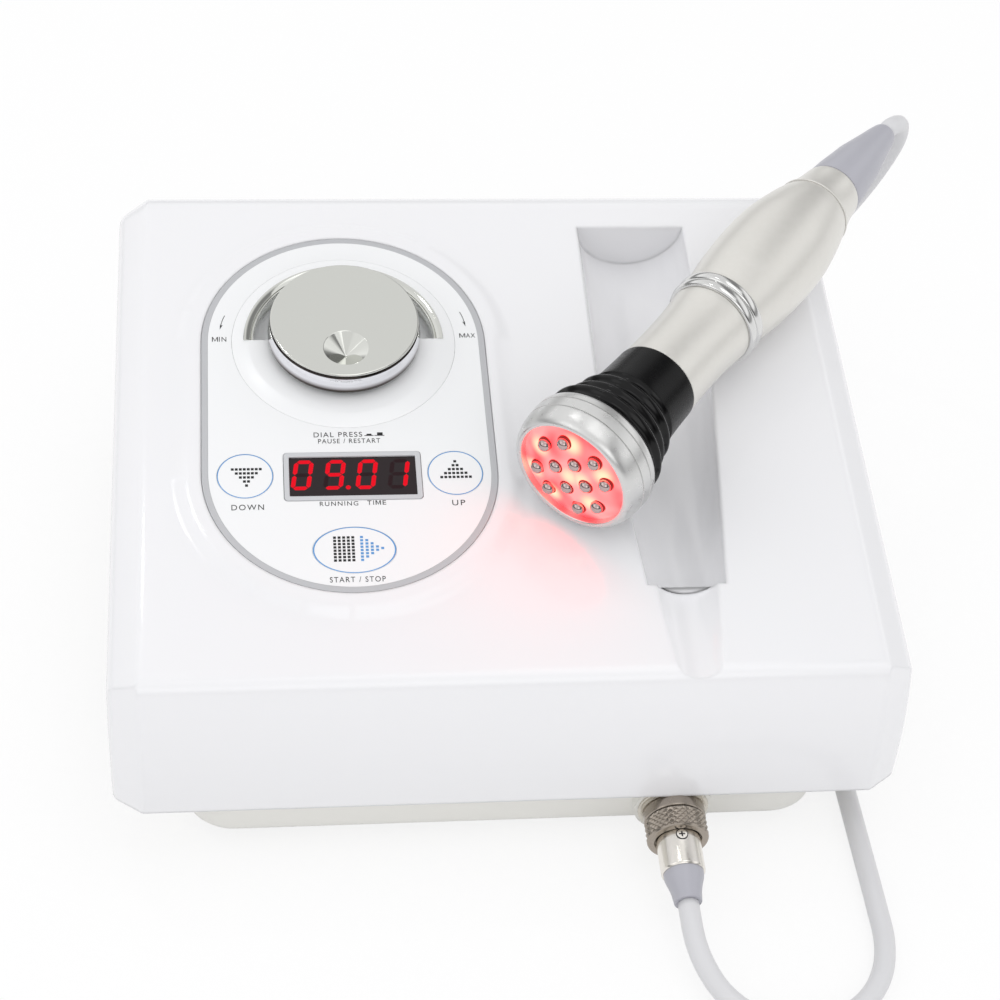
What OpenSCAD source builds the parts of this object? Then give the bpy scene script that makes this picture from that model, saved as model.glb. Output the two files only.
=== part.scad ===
// Table-top facial toning device: sloped control console with a dial, a timer
// display and a twelve-pin handpiece lying across its cradle.
// Row frame: X to the right, Y to the back, Z up. The origin is the centre of
// the base's underside. "deck" means the sloped top face of the housing.

/* [Housing] */
// Overall width of the housing
body_w = 289; // [270:1:340]
// Overall depth of the housing
body_d = 253; // [245:1:300]
// Slope of the deck in degrees
deck_tilt = 10; // [6:0.5:13]
// Height of the deck at its front bend
front_h = 81.5; // [72:0.5:100]
// Wall thickness of the mouldings
wall = 2.5; // [2:0.1:3.2]
// Width of the bevel round the housing's ends
bevel_w = 11.5; // [8:0.5:14]
// Depth of that bevel
bevel_drop = 8; // [5:0.5:10]
// Radius of the back top edge
back_r = 15; // [12:1:26]
// Radius of the bend between deck and front face
bend_r = 7; // [4:0.5:10]
// How far the front face leans back from its foot to the bend
front_lean = 10; // [5:0.5:14]
// Height of the housing's lower edge above the base's underside
lip_z = 25.2; // [22:0.1:30]
// Height of the undercut lip along that edge
lip_h = 8.9; // [5:0.1:12]
// How far the lip is undercut at the front
lip_in = 0.3; // [0:0.1:3]

/* [Base] */
// How far the base stands in from the housing's ends
base_in_x = 22.5; // [16:0.5:30]
// How far the base stands in from the housing's front and back
base_in_y = 7; // [6.5:0.1:16]
// Plan radius of the base's corners
base_r = 21; // [10:1:30]
// Draft of the base's walls in degrees
base_draft = 6; // [3:0.5:9]
// Radius of the base's bottom edge
base_round = 6; // [3:0.5:8]
// Height of the rubber feet
foot_h = 4; // [2:0.5:5]
// Radius of the rubber feet
foot_r = 8; // [5:0.5:12]
// Distance of the housing screws from the housing's ends
screw_in_x = 37; // [34:1:50]
// Distance of the housing screws from the housing's front and back
screw_in_y = 31; // [28:1:45]

/* [Control panel] */
// Distance of the dial's centre left of the housing's centre
dial_left = 56; // [50:1:60]
// Distance of the dial's centre from the front bend, along the deck
dial_up = 155; // [150:1:165]
// End radius of the control overlay
overlay_r = 55; // [50:0.5:58]
// Distance between the centres of the overlay's two round ends
overlay_straight = 64.1; // [58:0.1:72]
// Thickness of the overlay
overlay_t = 1; // [0.6:0.1:1.4]
// Height of the raised island under the overlay
island_h = 2.5; // [1.8:0.1:3.5]
// Margin of the island's flat round the overlay
island_rim = 4.5; // [3:0.5:7]
// Width of the slope round the island
island_slope = 7; // [4:0.5:9]

/* [Dial] */
// Radius of the dial's top face
dial_r = 28; // [24:0.5:29]
// Height of the dial
dial_h = 10.5; // [8:0.5:14]
// How much the dial's skirt flares out to its foot
dial_flare = 1.5; // [0:0.1:1.6]
// Radius of the finger dimple
dimple_r = 8.75; // [6:0.25:10]
// Distance of the dimple from the dial's centre
dimple_off = 14.6; // [10:0.1:16]
// Depth of the dimple
dimple_depth = 5; // [3:0.5:6]
// Travel of the dial when it is pressed
dial_travel = 1; // [0.5:0.1:1.2]
// Radius of the dial surround
surround_r = 46; // [43:0.5:48]
// Outer radius of the finger pocket behind the dial
pocket_r = 38; // [36:0.5:39]
// Depth of the finger pocket below the surround
pocket_depth = 9; // [6:0.5:10]

/* [Keys and display] */
// Radius of the up and down keys
key_r = 10.5; // [8:0.5:12]
// Half width of the start and stop key
start_rx = 15.3; // [12:0.1:17]
// Half depth of the start and stop key
start_ry = 10.5; // [8:0.5:11]
// Distance of the up and down keys from the panel's middle line
key_x = 39; // [36:0.5:42]
// Travel of a key
key_travel = 0.4; // [0.2:0.1:0.5]
// Width of the display window
window_w = 47.1; // [40:0.1:50]
// Depth of the display window
window_d = 18.4; // [16:0.1:22]

/* [Cradle] */
// Distance of the cradle's middle line right of the housing's centre
cradle_x = 64.5; // [62:0.5:72]
// Radius of the cradle at its back wall
cradle_r_back = 22; // [18:0.5:23]
// Largest radius of the cradle
cradle_r_mid = 22.5; // [20:0.5:23]
// Radius of the cradle at its front wall
cradle_r_front = 14.5; // [11:0.5:18]
// Radius of the cable channel in front of the cradle
channel_r = 13.5; // [12:0.1:15]
// Height of the channel's axis above the deck at the cradle
channel_lift = 7; // [6:0.5:8]
// Rise of the channel towards the front in degrees, against the deck
channel_rise = 6; // [3:0.5:8]

/* [Handpiece] */
// Largest radius of the head
head_r = 26.4; // [24:0.1:29]
// Length of the head ring
head_len = 24; // [20:0.5:28]
// Radius of the lens
lens_r = 21.4; // [19:0.1:23]
// Distance between neighbouring electrode pins
pin_pitch = 9.4; // [8:0.1:10]
// Radius of an electrode pin
pin_r = 2.1; // [1.6:0.1:2.6]
// Radius of the grip where it leaves the sleeve
grip_r = 16.3; // [14:0.1:18]
// Largest radius of the rear barrel
barrel_r = 20.9; // [18:0.1:23]
// Length of the handpiece from the head's rim to the tail cap's end
hand_len = 203; // [190:1:215]
// Length of the cable boot
boot_len = 40; // [25:1:50]
// Direction in which the handpiece lies on the deck, in degrees from +X
hand_heading = 50.7; // [48:0.1:54]

/* [Connector and cable] */
// Height of the front connector's axis
conn_z = 14.5; // [14.5:0.1:18]
// Distance of the connector right of the housing's centre
conn_x = 61; // [50:0.1:70]
// Downward tilt of the connector in degrees
conn_tilt = 6; // [3:0.5:8]
// Radius of the boss that carries the connector
boss_r = 14.5; // [13:0.1:15]
// Outer radius of the coupling ring
ring_r = 11.6; // [10:0.1:12.5]
// Radius of the plug's back shell
plug_r = 8.2; // [7:0.1:9]
// Diameter of the cable
cord_d = 8; // [6:0.5:9]

/* [Hidden] */
$fn = 64;

gap = 0.2;          // between pieces of one body
seat = 0.3;         // between pieces of different bodies
eps = 0.01;

// ---------------------------------------------------------------- frames
half_w = body_w / 2;
half_d = body_d / 2;
bend_y = -half_d + front_lean;
deck_y = bend_y + dial_up * cos(deck_tilt);
deck_z = front_h + dial_up * sin(deck_tilt);

module on_deck() {
    translate([-dial_left, deck_y, deck_z]) rotate([deck_tilt, 0, 0]) children();
}

// A point of the deck's frame in the row frame
function deck_point(p) = [
    p[0] - dial_left,
    deck_y + p[1] * cos(deck_tilt) - p[2] * sin(deck_tilt),
    deck_z + p[1] * sin(deck_tilt) + p[2] * cos(deck_tilt)
];

// Arc of radius r that rounds the corner b between a and c, in n steps
function unit(v) = v / norm(v);
function fillet(a, b, c, r, n) =
    let (u = unit(a - b), v = unit(c - b), half = acos(u * v) / 2,
         m = b + unit(u + v) * r / sin(half),
         p = b + u * r / tan(half), q = b + v * r / tan(half),
         t0 = atan2(p[1] - m[1], p[0] - m[0]), t1 = atan2(q[1] - m[1], q[0] - m[0]),
         turn = t1 - t0 > 180 ? t1 - t0 - 360 : t1 - t0 < -180 ? t1 - t0 + 360 : t1 - t0)
    [for (i = [0 : n]) m + r * [cos(t0 + turn * i / n), sin(t0 + turn * i / n)]];

// ---------------------------------------------------------------- housing form
crease_z = lip_z + lip_h;
front_arc_h = front_h - crease_z;
front_arc_r = (front_arc_h * front_arc_h + front_lean * front_lean) / (2 * front_lean);
front_arc_a = asin(front_arc_h / front_arc_r);
back_top_z = deck_z + (half_d - deck_y) * tan(deck_tilt);
below = -60;        // the form runs on below the lip, where it is cut off

// Side view of the housing, inset by in: lip, convex front, bend, deck, rounded back
function side_points(in) =
    let (r = front_arc_r - in,
         front = [for (i = [0 : 7]) let (t = front_arc_a * i / 8)
             [-half_d + front_arc_r - r * cos(t), crease_z + r * sin(t)]],
         n1 = [cos(front_arc_a * 0.94), -sin(front_arc_a * 0.94)],
         n2 = [sin(deck_tilt), -cos(deck_tilt)],
         bend = [bend_y, front_h] + in * (n1 + n2) / (1 + n1 * n2),
         back = [half_d - in, back_top_z - in / cos(deck_tilt) - in * tan(deck_tilt)])
    concat(
        [[-half_d + lip_in + in, below], [-half_d + lip_in + in, lip_z]],
        front,
        fillet(front[7], bend, back, max(bend_r - in, 0.6), 5),
        fillet(bend, back, back - [0, 50], max(back_r - in, 1), 8),
        [[half_d - in, below]]
    );

// What the bevel takes off at an end, as [distance from the middle, inset]; it
// crosses the faces a little beyond the points where its edges are tangent
function end_points(in) =
    let (b = [half_w - bevel_w, 0], c = [half_w, bevel_drop],
         e = fillet([0, 0], b, c, 5, 3), f = fillet(b, c, c + [0, 30], 6, 3))
    [for (q = [[half_w + 12, bevel_drop + 8], f[3] + 0.6 * (f[3] - f[2]), f[2], f[1], f[0],
               e[3], e[2], e[1], e[0] - 0.6 * (e[1] - e[0]), [half_w + 12, -12]])
        q + [-in, in]];

// What the bevel takes off one end: along the deck, back, lip, back edge and front
module end_cut(in) {
    across = [for (q = end_points(in)) [q[0], -q[1]]];
    translate([0, bend_y, front_h]) rotate([deck_tilt, 0, 0]) translate([0, 360, 0])
        rotate([90, 0, 0]) linear_extrude(400) polygon(across);
    translate([0, half_d, 0]) linear_extrude(200) polygon(across);
    translate([0, -half_d, 0]) linear_extrude(crease_z) polygon(end_points(in));
    translate([0, half_d - back_r, back_mid_z]) revolve_x(0, 90 + deck_tilt)
        polygon([for (q = across) [max(0, back_r + q[1]), q[0]]]);
    translate([0, -half_d + front_arc_r, crease_z]) revolve_x(130, 50)
        polygon([for (q = across) [front_arc_r + q[1], q[0]]]);
}

// Turns a profile [radius, x] about the X axis, from the angle a0 above +Y on
module revolve_x(a0, turn) rotate([a0, 0, 0]) rotate([90, 0, 90])
    rotate_extrude(angle = turn, $fn = 96) children();

back_mid_z = back_top_z - back_r * tan(deck_tilt) - back_r / cos(deck_tilt);

module housing_form(in = 0) difference() {
    intersection() {
        translate([-half_w + in, 0, 0]) rotate([90, 0, 90])
            linear_extrude(body_w - 2 * in) polygon(side_points(in));
        translate([-half_w - 1, -half_d - 1, lip_z])
            cube([body_w + 2, body_d + 2, 2 * back_top_z]);
    }
    end_cut(in);
    mirror([1, 0, 0]) end_cut(in);
}

// ---------------------------------------------------------------- housing
module stadium(r) {
    circle(r, $fn = 96);
    translate([-r, -overlay_straight]) square([2 * r, overlay_straight]);
    translate([0, -overlay_straight]) circle(r, $fn = 96);
}

module island() {
    r_top = overlay_r + island_rim;
    r_foot = r_top + island_slope;
    for (y = [0, -overlay_straight]) translate([0, y, -wall])
        cylinder(h = wall, r = r_foot, $fn = 96);
    for (y = [0, -overlay_straight]) translate([0, y, 0])
        cylinder(h = island_h, r1 = r_foot, r2 = r_top, $fn = 96);
    rotate([90, 0, 0]) linear_extrude(overlay_straight)
        polygon([[-r_foot, -wall], [r_foot, -wall], [r_foot, 0], [r_top, island_h],
                 [-r_top, island_h], [-r_foot, 0]]);
}

cradle_dx = cradle_x + dial_left;
cradle_front = -116.5;   // front wall, in the deck's frame
cradle_mid = -20;
cradle_back = 63.5;

module cradle_cut(more = 0) {
    translate([cradle_dx, 0, 0]) rotate([-90, 0, 0]) rotate_extrude($fn = 96)
        polygon([[0, cradle_front - more], [cradle_r_front + more, cradle_front - more],
                 [cradle_r_mid + more, cradle_mid], [cradle_r_back + more, cradle_back + more],
                 [0, cradle_back + more]]);
    translate([cradle_dx, cradle_front + 1, channel_lift]) rotate([90 - channel_rise, 0, 0])
        cylinder(h = 80, r = channel_r + more, $fn = 64);
}

post_x = half_w - screw_in_x;
post_y = half_d - screw_in_y;
post_r = 4.5;
post_z = 12.2;
pilot_r = 1.6;
pilot_depth = 16;

module at_posts() for (x = [-post_x, post_x], y = [-post_y, post_y])
    translate([x, y, 0]) children();

// Openings of the back wall
inlet_x = -88;
inlet_z = 52;
rocker_x = -44;
vent_pitch = 8;
vent_n = 9;
vent_w = 3;
vent_h = 26;

module vents() for (i = [0 : vent_n - 1]) translate([10 + i * vent_pitch, half_d - 8, inlet_z]) {
    translate([-vent_w / 2, 0, -vent_h / 2]) cube([vent_w, 12, vent_h]);
    for (z = [-vent_h / 2, vent_h / 2]) translate([0, 0, z]) rotate([-90, 0, 0])
        cylinder(h = 12, r = vent_w / 2, $fn = 24);
}

opening_r = surround_r - 2.5;
bed_z = island_h - overlay_t;        // what the overlay lies on
key_bed = bed_z - 1.5;               // floor of a key's recess
key_flange = 1.2;
stem_r = 2.2;
display_x = 0.8;
display_y = -66.4;
key_y = -65.7;
start_y = -100.3;
module_w = 50.3;
module_d = 19;

function ellipse(rx, ry, n = 48) = [for (i = [0 : n - 1])
    [rx * cos(360 * i / n), ry * sin(360 * i / n)]];

module at_keys() for (x = [-key_x, key_x]) translate([x, key_y, 0]) children();

module key_recess(rx, ry) {
    translate([0, 0, key_bed]) linear_extrude(10)
        polygon(ellipse(rx + key_flange + gap, ry + key_flange + gap));
    translate([0, 0, -10]) cylinder(h = 20, r = stem_r + 0.8);
}

module top_shell() color("whitesmoke") difference() {
    union() {
        difference() {
            housing_form();
            housing_form(wall);
            translate([-half_w, -half_d + wall, lip_z - 1])
                cube([body_w, body_d - 2 * wall, 1.2]);
        }
        intersection() {
            housing_form(eps);
            union() {
                on_deck() cradle_cut(wall);
                at_posts() translate([0, 0, post_z]) cylinder(h = 150, r = post_r);
            }
        }
        at_posts() translate([0, 0, post_z])
            cylinder(h = lip_z - post_z + 2, r = post_r);
        on_deck() island();
    }
    on_deck() {
        cradle_cut();
        translate([0, 0, bed_z]) linear_extrude(10) stadium(overlay_r + gap);
        translate([0, 0, -12]) cylinder(h = 24, r = opening_r, $fn = 96);
        translate([0, 0, bed_z - 1]) cylinder(h = 10, r = surround_r + gap, $fn = 96);
        translate([display_x - module_w / 2 - 0.6, display_y - module_d / 2 - 0.6, -12])
            cube([module_w + 1.2, module_d + 1.2, 24]);
        at_keys() key_recess(key_r, key_r);
        translate([0, start_y, 0]) key_recess(start_rx, start_ry);
    }
    at_posts() translate([0, 0, post_z - 1]) cylinder(h = pilot_depth, r = pilot_r);
    vents();
    along_conn(-110) cylinder(h = -110 - boss_face + flange_t + 0.15, r = boss_r + 0.4);
    translate([inlet_x - 14, half_d - 10, inlet_z - 10.4]) cube([28, 20, 20.8]);
    for (x = [-20, 20]) translate([inlet_x + x, half_d - 10, inlet_z]) rotate([-90, 0, 0])
        cylinder(h = 20, r = 1.7);
    translate([rocker_x - 6.6, half_d - 10, inlet_z - 9.7]) cube([13.2, 20, 19.4]);
}

// ---------------------------------------------------------------- base
base_x = half_w - base_in_x;
base_y = half_d - base_in_y;
flange_z = lip_z + 0.5;
boss_face = -half_d + 3.9;           // the lip is thinned in front of it
socket_y = -base_y + 6;              // back of the boss
barrel_r0 = 9.5;                     // threaded barrel of the socket

module plan(x, y, r) {
    for (sx = [-1, 1], sy = [-1, 1]) translate([sx * (x - r), sy * (y - r)]) circle(r);
    square([2 * (x - r), 2 * y], center = true);
    square([2 * x, 2 * (y - r)], center = true);
}

// Plate that closes the housing from below, with its corners cut like the bevel's
module flange_plan() {
    x = half_w - wall - gap - 0.4;
    y = half_d - lip_in - wall - 0.4;
    polygon([[-x + bevel_w, -y], [x - bevel_w, -y], [x, -y + bevel_w], [x, y - bevel_w],
             [x - bevel_w, y], [-x + bevel_w, y], [-x, y - bevel_w], [-x, -y + bevel_w]]);
}

// Section of the base's wall as [distance in from its top edge, height], moved in by more
function base_wall(more, top) =
    let (f = (flange_z + wall - base_round) * tan(base_draft), r = base_round - more)
    concat([for (i = [0 : 4]) [f + base_round - r * sin(22.5 * i), base_round - r * cos(22.5 * i)]],
           [[more - (top - flange_z - wall) * tan(base_draft), top]]);

// Rounded block whose sides follow a wall section
module moulded(x, y, r, section) {
    n = len(section) - 1;
    function both(w) = concat([for (p = section) [w - p[0], p[1]]],
                              [for (i = [n : -1 : 0]) [section[i][0] - w, section[i][1]]]);
    for (sx = [-1, 1], sy = [-1, 1]) translate([sx * (x - r), sy * (y - r), 0])
        rotate_extrude() polygon(concat([[0, section[0][1]]],
            [for (p = section) [r - p[0], p[1]]], [[0, section[n][1]]]));
    rotate([90, 0, 90]) linear_extrude(2 * (x - r), center = true) polygon(both(y));
    rotate([90, 0, 0]) linear_extrude(2 * (y - r), center = true) polygon(both(x));
}

module base_tray() color("gainsboro") difference() {
    union() {
        difference() {
            union() {
                moulded(base_x, base_y, base_r, base_wall(0, flange_z + wall));
                translate([0, 0, flange_z]) linear_extrude(wall) flange_plan();
            }
            moulded(base_x, base_y, base_r, base_wall(wall, flange_z + wall + 3));
        }
        at_posts() cylinder(h = post_z - gap, r = post_r + 1);
        along_conn(socket_y) cylinder(h = socket_y - boss_face, r = boss_r);
        for (x = board_posts_x, y = board_posts_y) translate([x, y, 0])
            cylinder(h = board_z, r = 4);
        translate([trafo_x - 34, trafo_y - 28, 0]) cube([68, 56, wall + 1.5]);
    }
    at_posts() {
        translate([0, 0, -1]) cylinder(h = 40, r = 2);
        translate([0, 0, -1]) cylinder(h = 4.5, r = 3.6);
    }
    along_conn(socket_y + 5) cylinder(h = 60, r = barrel_r0 + 0.1);
    at_feet() translate([0, 0, -1]) cylinder(h = 1 + foot_seat, r = foot_r + gap);
}

foot_seat = 0.6;                     // depth of a foot's recess
foot_x = base_x - 20;
foot_y = base_y - 20;

module at_feet() for (x = [-foot_x, foot_x], y = [-foot_y, foot_y]) translate([x, y, 0])
    children();

module rubber_feet() color("dimgray") at_feet() translate([0, 0, -foot_h]) rotate_extrude()
    polygon([[0, 0], [foot_r - 1, 0], [foot_r, 1], [foot_r, foot_h + foot_seat],
             [0, foot_h + foot_seat]]);

module housing_screws() color("silver") at_posts() {
    translate([0, 0, 1]) cylinder(h = 2.3, r = 3.2);
    translate([0, 0, 3]) cylinder(h = 20, r = 1.5);
}

// ---------------------------------------------------------------- control panel
module control_overlay() color("white") on_deck() difference() {
    translate([0, 0, bed_z]) linear_extrude(overlay_t) difference() {
        stadium(overlay_r);
        circle(surround_r + gap, $fn = 96);
        translate([display_x, display_y]) square([window_w + 4.4, window_d + 4.4], center = true);
    }
    at_keys() translate([0, 0, -5]) cylinder(h = 10, r = key_r);
    translate([0, start_y, -5]) linear_extrude(10) polygon(ellipse(start_rx, start_ry));
}

surround_top = island_h + 1.2;
pocket_floor = surround_top - pocket_depth;
pocket_in = pocket_r - 11;
cup_wall = 1.6;

module half_ring(r_in, r_out, z0, z1) {
    translate([0, 0, z0]) intersection() {
        difference() {
            cylinder(h = z1 - z0, r = r_out, $fn = 96);
            translate([0, 0, -1]) cylinder(h = z1 - z0 + 2, r = r_in, $fn = 96);
        }
        translate([-r_out - 1, 0, -1]) cube([2 * r_out + 2, r_out + 2, z1 - z0 + 2]);
    }
}

bush_r = 4.75;

module dial_surround() color("white") on_deck() difference() {
    union() {
        rotate_extrude($fn = 96) polygon([
            [bush_r + 0.25, bed_z - 1], [surround_r, bed_z - 1], [surround_r, island_h],
            [surround_r - 1.2, island_h + 0.2], [pocket_r + 2, surround_top],
            [bush_r + 0.25, surround_top]]);
        half_ring(pocket_in - cup_wall, pocket_r + cup_wall, pocket_floor - cup_wall, bed_z);
        intersection() {
            translate([-opening_r, -cup_wall, pocket_floor - cup_wall])
                cube([2 * opening_r, cup_wall + eps, bed_z - pocket_floor + cup_wall]);
            half_band(pocket_in - cup_wall, pocket_r + cup_wall);
        }
    }
    half_ring(pocket_in, pocket_r, pocket_floor, surround_top + 1);
}

module half_band(r_in, r_out) translate([0, 0, -30]) difference() {
    cylinder(h = 60, r = r_out, $fn = 96);
    translate([0, 0, -1]) cylinder(h = 62, r = r_in, $fn = 96);
}

module pocket_liner() color("silver") on_deck()
    half_ring(pocket_r - 1.3, pocket_r - 0.05, pocket_floor + 0.05, surround_top + 0.3);

module display_bezel() color("lightgray") on_deck() translate([display_x, display_y, bed_z])
    linear_extrude(overlay_t + 0.3) difference() {
        plan(window_w / 2 + 2, window_d / 2 + 2, 1.5);
        square([window_w, window_d], center = true);
    }

module display_window() color([0.16, 0.13, 0.14]) on_deck()
    translate([display_x, display_y, bed_z]) linear_extrude(overlay_t - 0.4)
        square([window_w - 0.1, window_d - 0.1], center = true);

module_h = 8;
module_top = bed_z - 0.1;
board_top = module_top - module_h - 3;
board_t = 1.6;

module display_module() color([0.2, 0.2, 0.2]) on_deck()
    translate([display_x, display_y, module_top]) {
        translate([-module_w / 2, -module_d / 2, -module_h]) cube([module_w, module_d, module_h]);
        for (i = [0 : 5], y = [-7.6, 7.6]) translate([(i - 2.5) * 2.54, y, -module_h - 3])
            cylinder(h = 3, r = 0.4, $fn = 24);
    }

// Board under the overlay; it reaches under the dial, and a slot clears the pocket's cup
board_w = 96;
module control_board() color("darkgreen") on_deck() difference() {
    union() {
        translate([-board_w / 2, -overlay_straight - 46, board_top - board_t])
            cube([board_w, overlay_straight + 38, board_t]);
        translate([-12, -10, board_top - board_t]) cube([24, 30, board_t]);
    }
    for (x = [-board_w / 2 + 5, board_w / 2 - 5], y = [-overlay_straight - 41, -20])
        translate([x, y, board_top - 5]) cylinder(h = 10, r = 1.7);
}

tact_h = 5;

module tact_switches() color([0.15, 0.15, 0.16]) on_deck()
    for (p = [[-key_x, key_y], [key_x, key_y], [0, start_y]]) translate([p[0], p[1], board_top]) {
        translate([-3, -3, 0]) cube([6, 6, 3.5]);
        translate([0, 0, 3.5]) cylinder(h = tact_h - 3.5, r = 1.7);
    }

key_foot = bed_z - 1;
stem_len = key_foot - (board_top + tact_h + key_travel + 0.1);

module key_stem() translate([0, 0, key_foot - stem_len]) cylinder(h = stem_len + eps, r = stem_r);

module round_key() {
    translate([0, 0, key_foot]) cylinder(h = island_h - key_foot, r = key_r - seat);
    translate([0, 0, key_foot]) cylinder(h = 0.9, r = key_r + key_flange);
    key_stem();
}

module down_key() color("white") on_deck() translate([-key_x, key_y, 0]) round_key();
module up_key() color("white") on_deck() translate([key_x, key_y, 0]) round_key();
module start_stop_key() color("white") on_deck() translate([0, start_y, 0]) {
    translate([0, 0, key_foot]) linear_extrude(island_h - key_foot)
        polygon(ellipse(start_rx - seat, start_ry - seat));
    translate([0, 0, key_foot]) linear_extrude(0.9)
        polygon(ellipse(start_rx + key_flange, start_ry + key_flange));
    key_stem();
}

// ---------------------------------------------------------------- dial
shaft_r = 3;
run = 0.06;                          // running clearance of shaft and plunger
plunger_r = 3.9;
dial_foot = surround_top + dial_travel + seat;
encoder_top = board_top + 6.5;

module encoder_body() color("dimgray") on_deck() difference() {
    union() {
        translate([-7, -7, board_top]) cube([14, 14, encoder_top - board_top]);
        translate([0, 0, encoder_top - eps]) cylinder(h = surround_top - encoder_top - 0.4, r = bush_r);
    }
    translate([0, 0, board_top + 1]) cylinder(h = 30, r = plunger_r + run);
}

module dial_plunger() color("silver") on_deck() difference() {
    translate([0, 0, board_top + 1 + dial_travel + 0.2])
        cylinder(h = surround_top - 1 - board_top - dial_travel, r = plunger_r);
    translate([0, 0, board_top + 3.5]) cylinder(h = 30, r = shaft_r + run);
}

module dial_shaft() color("silver") on_deck() difference() {
    translate([0, 0, board_top + 3.5 + run]) cylinder(h = dial_foot + 6 - board_top - 3.5, r = shaft_r);
    translate([1.5, -5, dial_foot]) cube([5, 10, 20]);
}

module dial_knob() color("silver") on_deck() translate([0, 0, dial_foot]) difference() {
    rotate_extrude($fn = 96) polygon([
        [0, 2], [7, 2], [7, dial_h - 3], [dial_r - 3, dial_h - 3], [dial_r - 1.5, 0],
        [dial_r + dial_flare - 0.5, 0], [dial_r + dial_flare, 0.5],
        [dial_r + dial_flare * 0.55, dial_h * 0.5], [dial_r + 0.4, dial_h - 0.9],
        [dial_r, dial_h - 0.25], [dial_r - 0.5, dial_h], [0, dial_h]]);
    translate([0, -dimple_off, dial_h - dimple_depth]) cylinder(h = dimple_depth + eps, r1 = 0.3, r2 = dimple_r);
    difference() {
        translate([0, 0, -1]) cylinder(h = 1 + 6 + 0.2, r = shaft_r + 0.02);
        translate([1.5 + 0.02, -5, -1]) cube([5, 10, 20]);
    }
}

// ---------------------------------------------------------------- inside
board_z = 9;
main_w = 120;
main_d = 100;
main_x = 38;
main_y = -35;
board_posts_x = [main_x - main_w / 2 + 6, main_x + main_w / 2 - 6];
board_posts_y = [main_y - main_d / 2 + 6, main_y + main_d / 2 - 6];
trafo_x = -64;
trafo_y = 50;

module main_board() color("darkgreen") translate([main_x - main_w / 2, main_y - main_d / 2, board_z])
    cube([main_w, main_d, board_t]);

module transformer() color([0.45, 0.4, 0.35]) translate([trafo_x, trafo_y, wall + 1.5]) {
    difference() {
        translate([-33, -20, 0]) cube([66, 40, 54]);
        for (x = [-16.5, 16.5]) translate([x - 5.5, -21, 11]) cube([11, 42, 32]);
    }
    translate([-21.9, -27, 11.1]) difference() {
        cube([43.8, 54, 31.8]);
        translate([11, -1, -1]) cube([21.8, 8, 34]);
        translate([11, 47, -1]) cube([21.8, 8, 34]);
        translate([10.9, 6.8, -1]) cube([22, 40.4, 34]);
    }
}

module output_stage() color("silver") translate([main_x - 30, main_y - 20, board_z + board_t]) {
    cube([60, 40, 4]);
    for (i = [0 : 7]) translate([i * 8.2, 0, 4 - eps]) cube([2.2, 40, 22]);
}

// Mains wires from the inlet down past the transformer to the main board
module wire_loom() color([0.3, 0.3, 0.32]) {
    r = 2.2;
    run = [[inlet_x, half_d - 30.2, inlet_z], [inlet_x, half_d - 39, inlet_z],
           [inlet_x, half_d - 39, 6.5], [main_x - main_w / 2 + 18, half_d - 39, 6.5],
           [main_x - main_w / 2 + 18, main_y + main_d / 2 - 14, 6.5]];
    for (i = [0 : 3]) let (a = run[i], v = run[i + 1] - a, h = norm(v)) translate(a) {
        rotate([0, acos(v[2] / h), atan2(v[1], v[0])]) cylinder(h = h, r = r, $fn = 24);
        if (i > 0) sphere(r, $fn = 24);
    }
}

// ---------------------------------------------------------------- back panel
module mains_inlet() color([0.12, 0.12, 0.13]) translate([inlet_x, half_d, inlet_z]) {
    difference() {
        union() {
            translate([-25, 0, -11.5]) cube([50, 3, 23]);
            translate([-13.8, -30, -10.2]) cube([27.6, 31, 20.4]);
        }
        rotate([90, 0, 0]) translate([0, 0, -5]) linear_extrude(18)
            polygon([[-12, -8], [12, -8], [12, 4], [8, 8], [-8, 8], [-12, 4]]);
        for (x = [-20, 20]) translate([x, -5, 0]) rotate([-90, 0, 0]) cylinder(h = 10, r = 1.7);
    }
    for (p = [[-7, -2], [7, -2], [0, 2]]) translate([p[0] - 1, -14, p[1] - 2]) cube([2, 14, 4]);
}

module inlet_screws() color("silver") for (x = [-20, 20])
    translate([inlet_x + x, half_d - 8, inlet_z]) rotate([-90, 0, 0]) {
        cylinder(h = 12, r = 1.5);
        translate([0, 0, 11 + eps]) cylinder(h = 1.8, r = 3);
    }

rocker_y = half_d - 1;               // the rocker's hinge line

module switch_frame() color([0.12, 0.12, 0.13]) translate([rocker_x, half_d, inlet_z]) difference() {
    union() {
        translate([-7.5, 0, -10.5]) cube([15, 2, 21]);
        translate([-6.4, -16, -9.5]) cube([12.8, 17, 19]);
    }
    translate([-5.2, -9, -8.4]) cube([10.4, 20, 16.8]);
}

module power_rocker() color([0.1, 0.1, 0.11]) translate([rocker_x, rocker_y, inlet_z])
    rotate([90, 0, 90]) linear_extrude(9.8, center = true)
        polygon([[-5, -3], [-5, 3], [0, 7.2], [2.6, 7.6], [1.6, 0], [3.9, -7.5], [0, -7.2]]);

// ---------------------------------------------------------------- front connector
// Places along the connector's axis are given by the y they would have without its tilt
module along_conn(y) translate([conn_x, boss_face, conn_z]) rotate([90 + conn_tilt, 0, 0])
    translate([0, 0, boss_face - y]) children();

function conn_point(y) = [conn_x, boss_face - (boss_face - y) * cos(conn_tilt),
                          conn_z - (boss_face - y) * sin(conn_tilt)];

flange_t = 1;
neck_len = 6.2;                      // from the boss face to the thread
ring_y = boss_face - 6.5;            // back of the coupling ring
ring_len = 8.5;
insert_r = 7.4;

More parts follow.
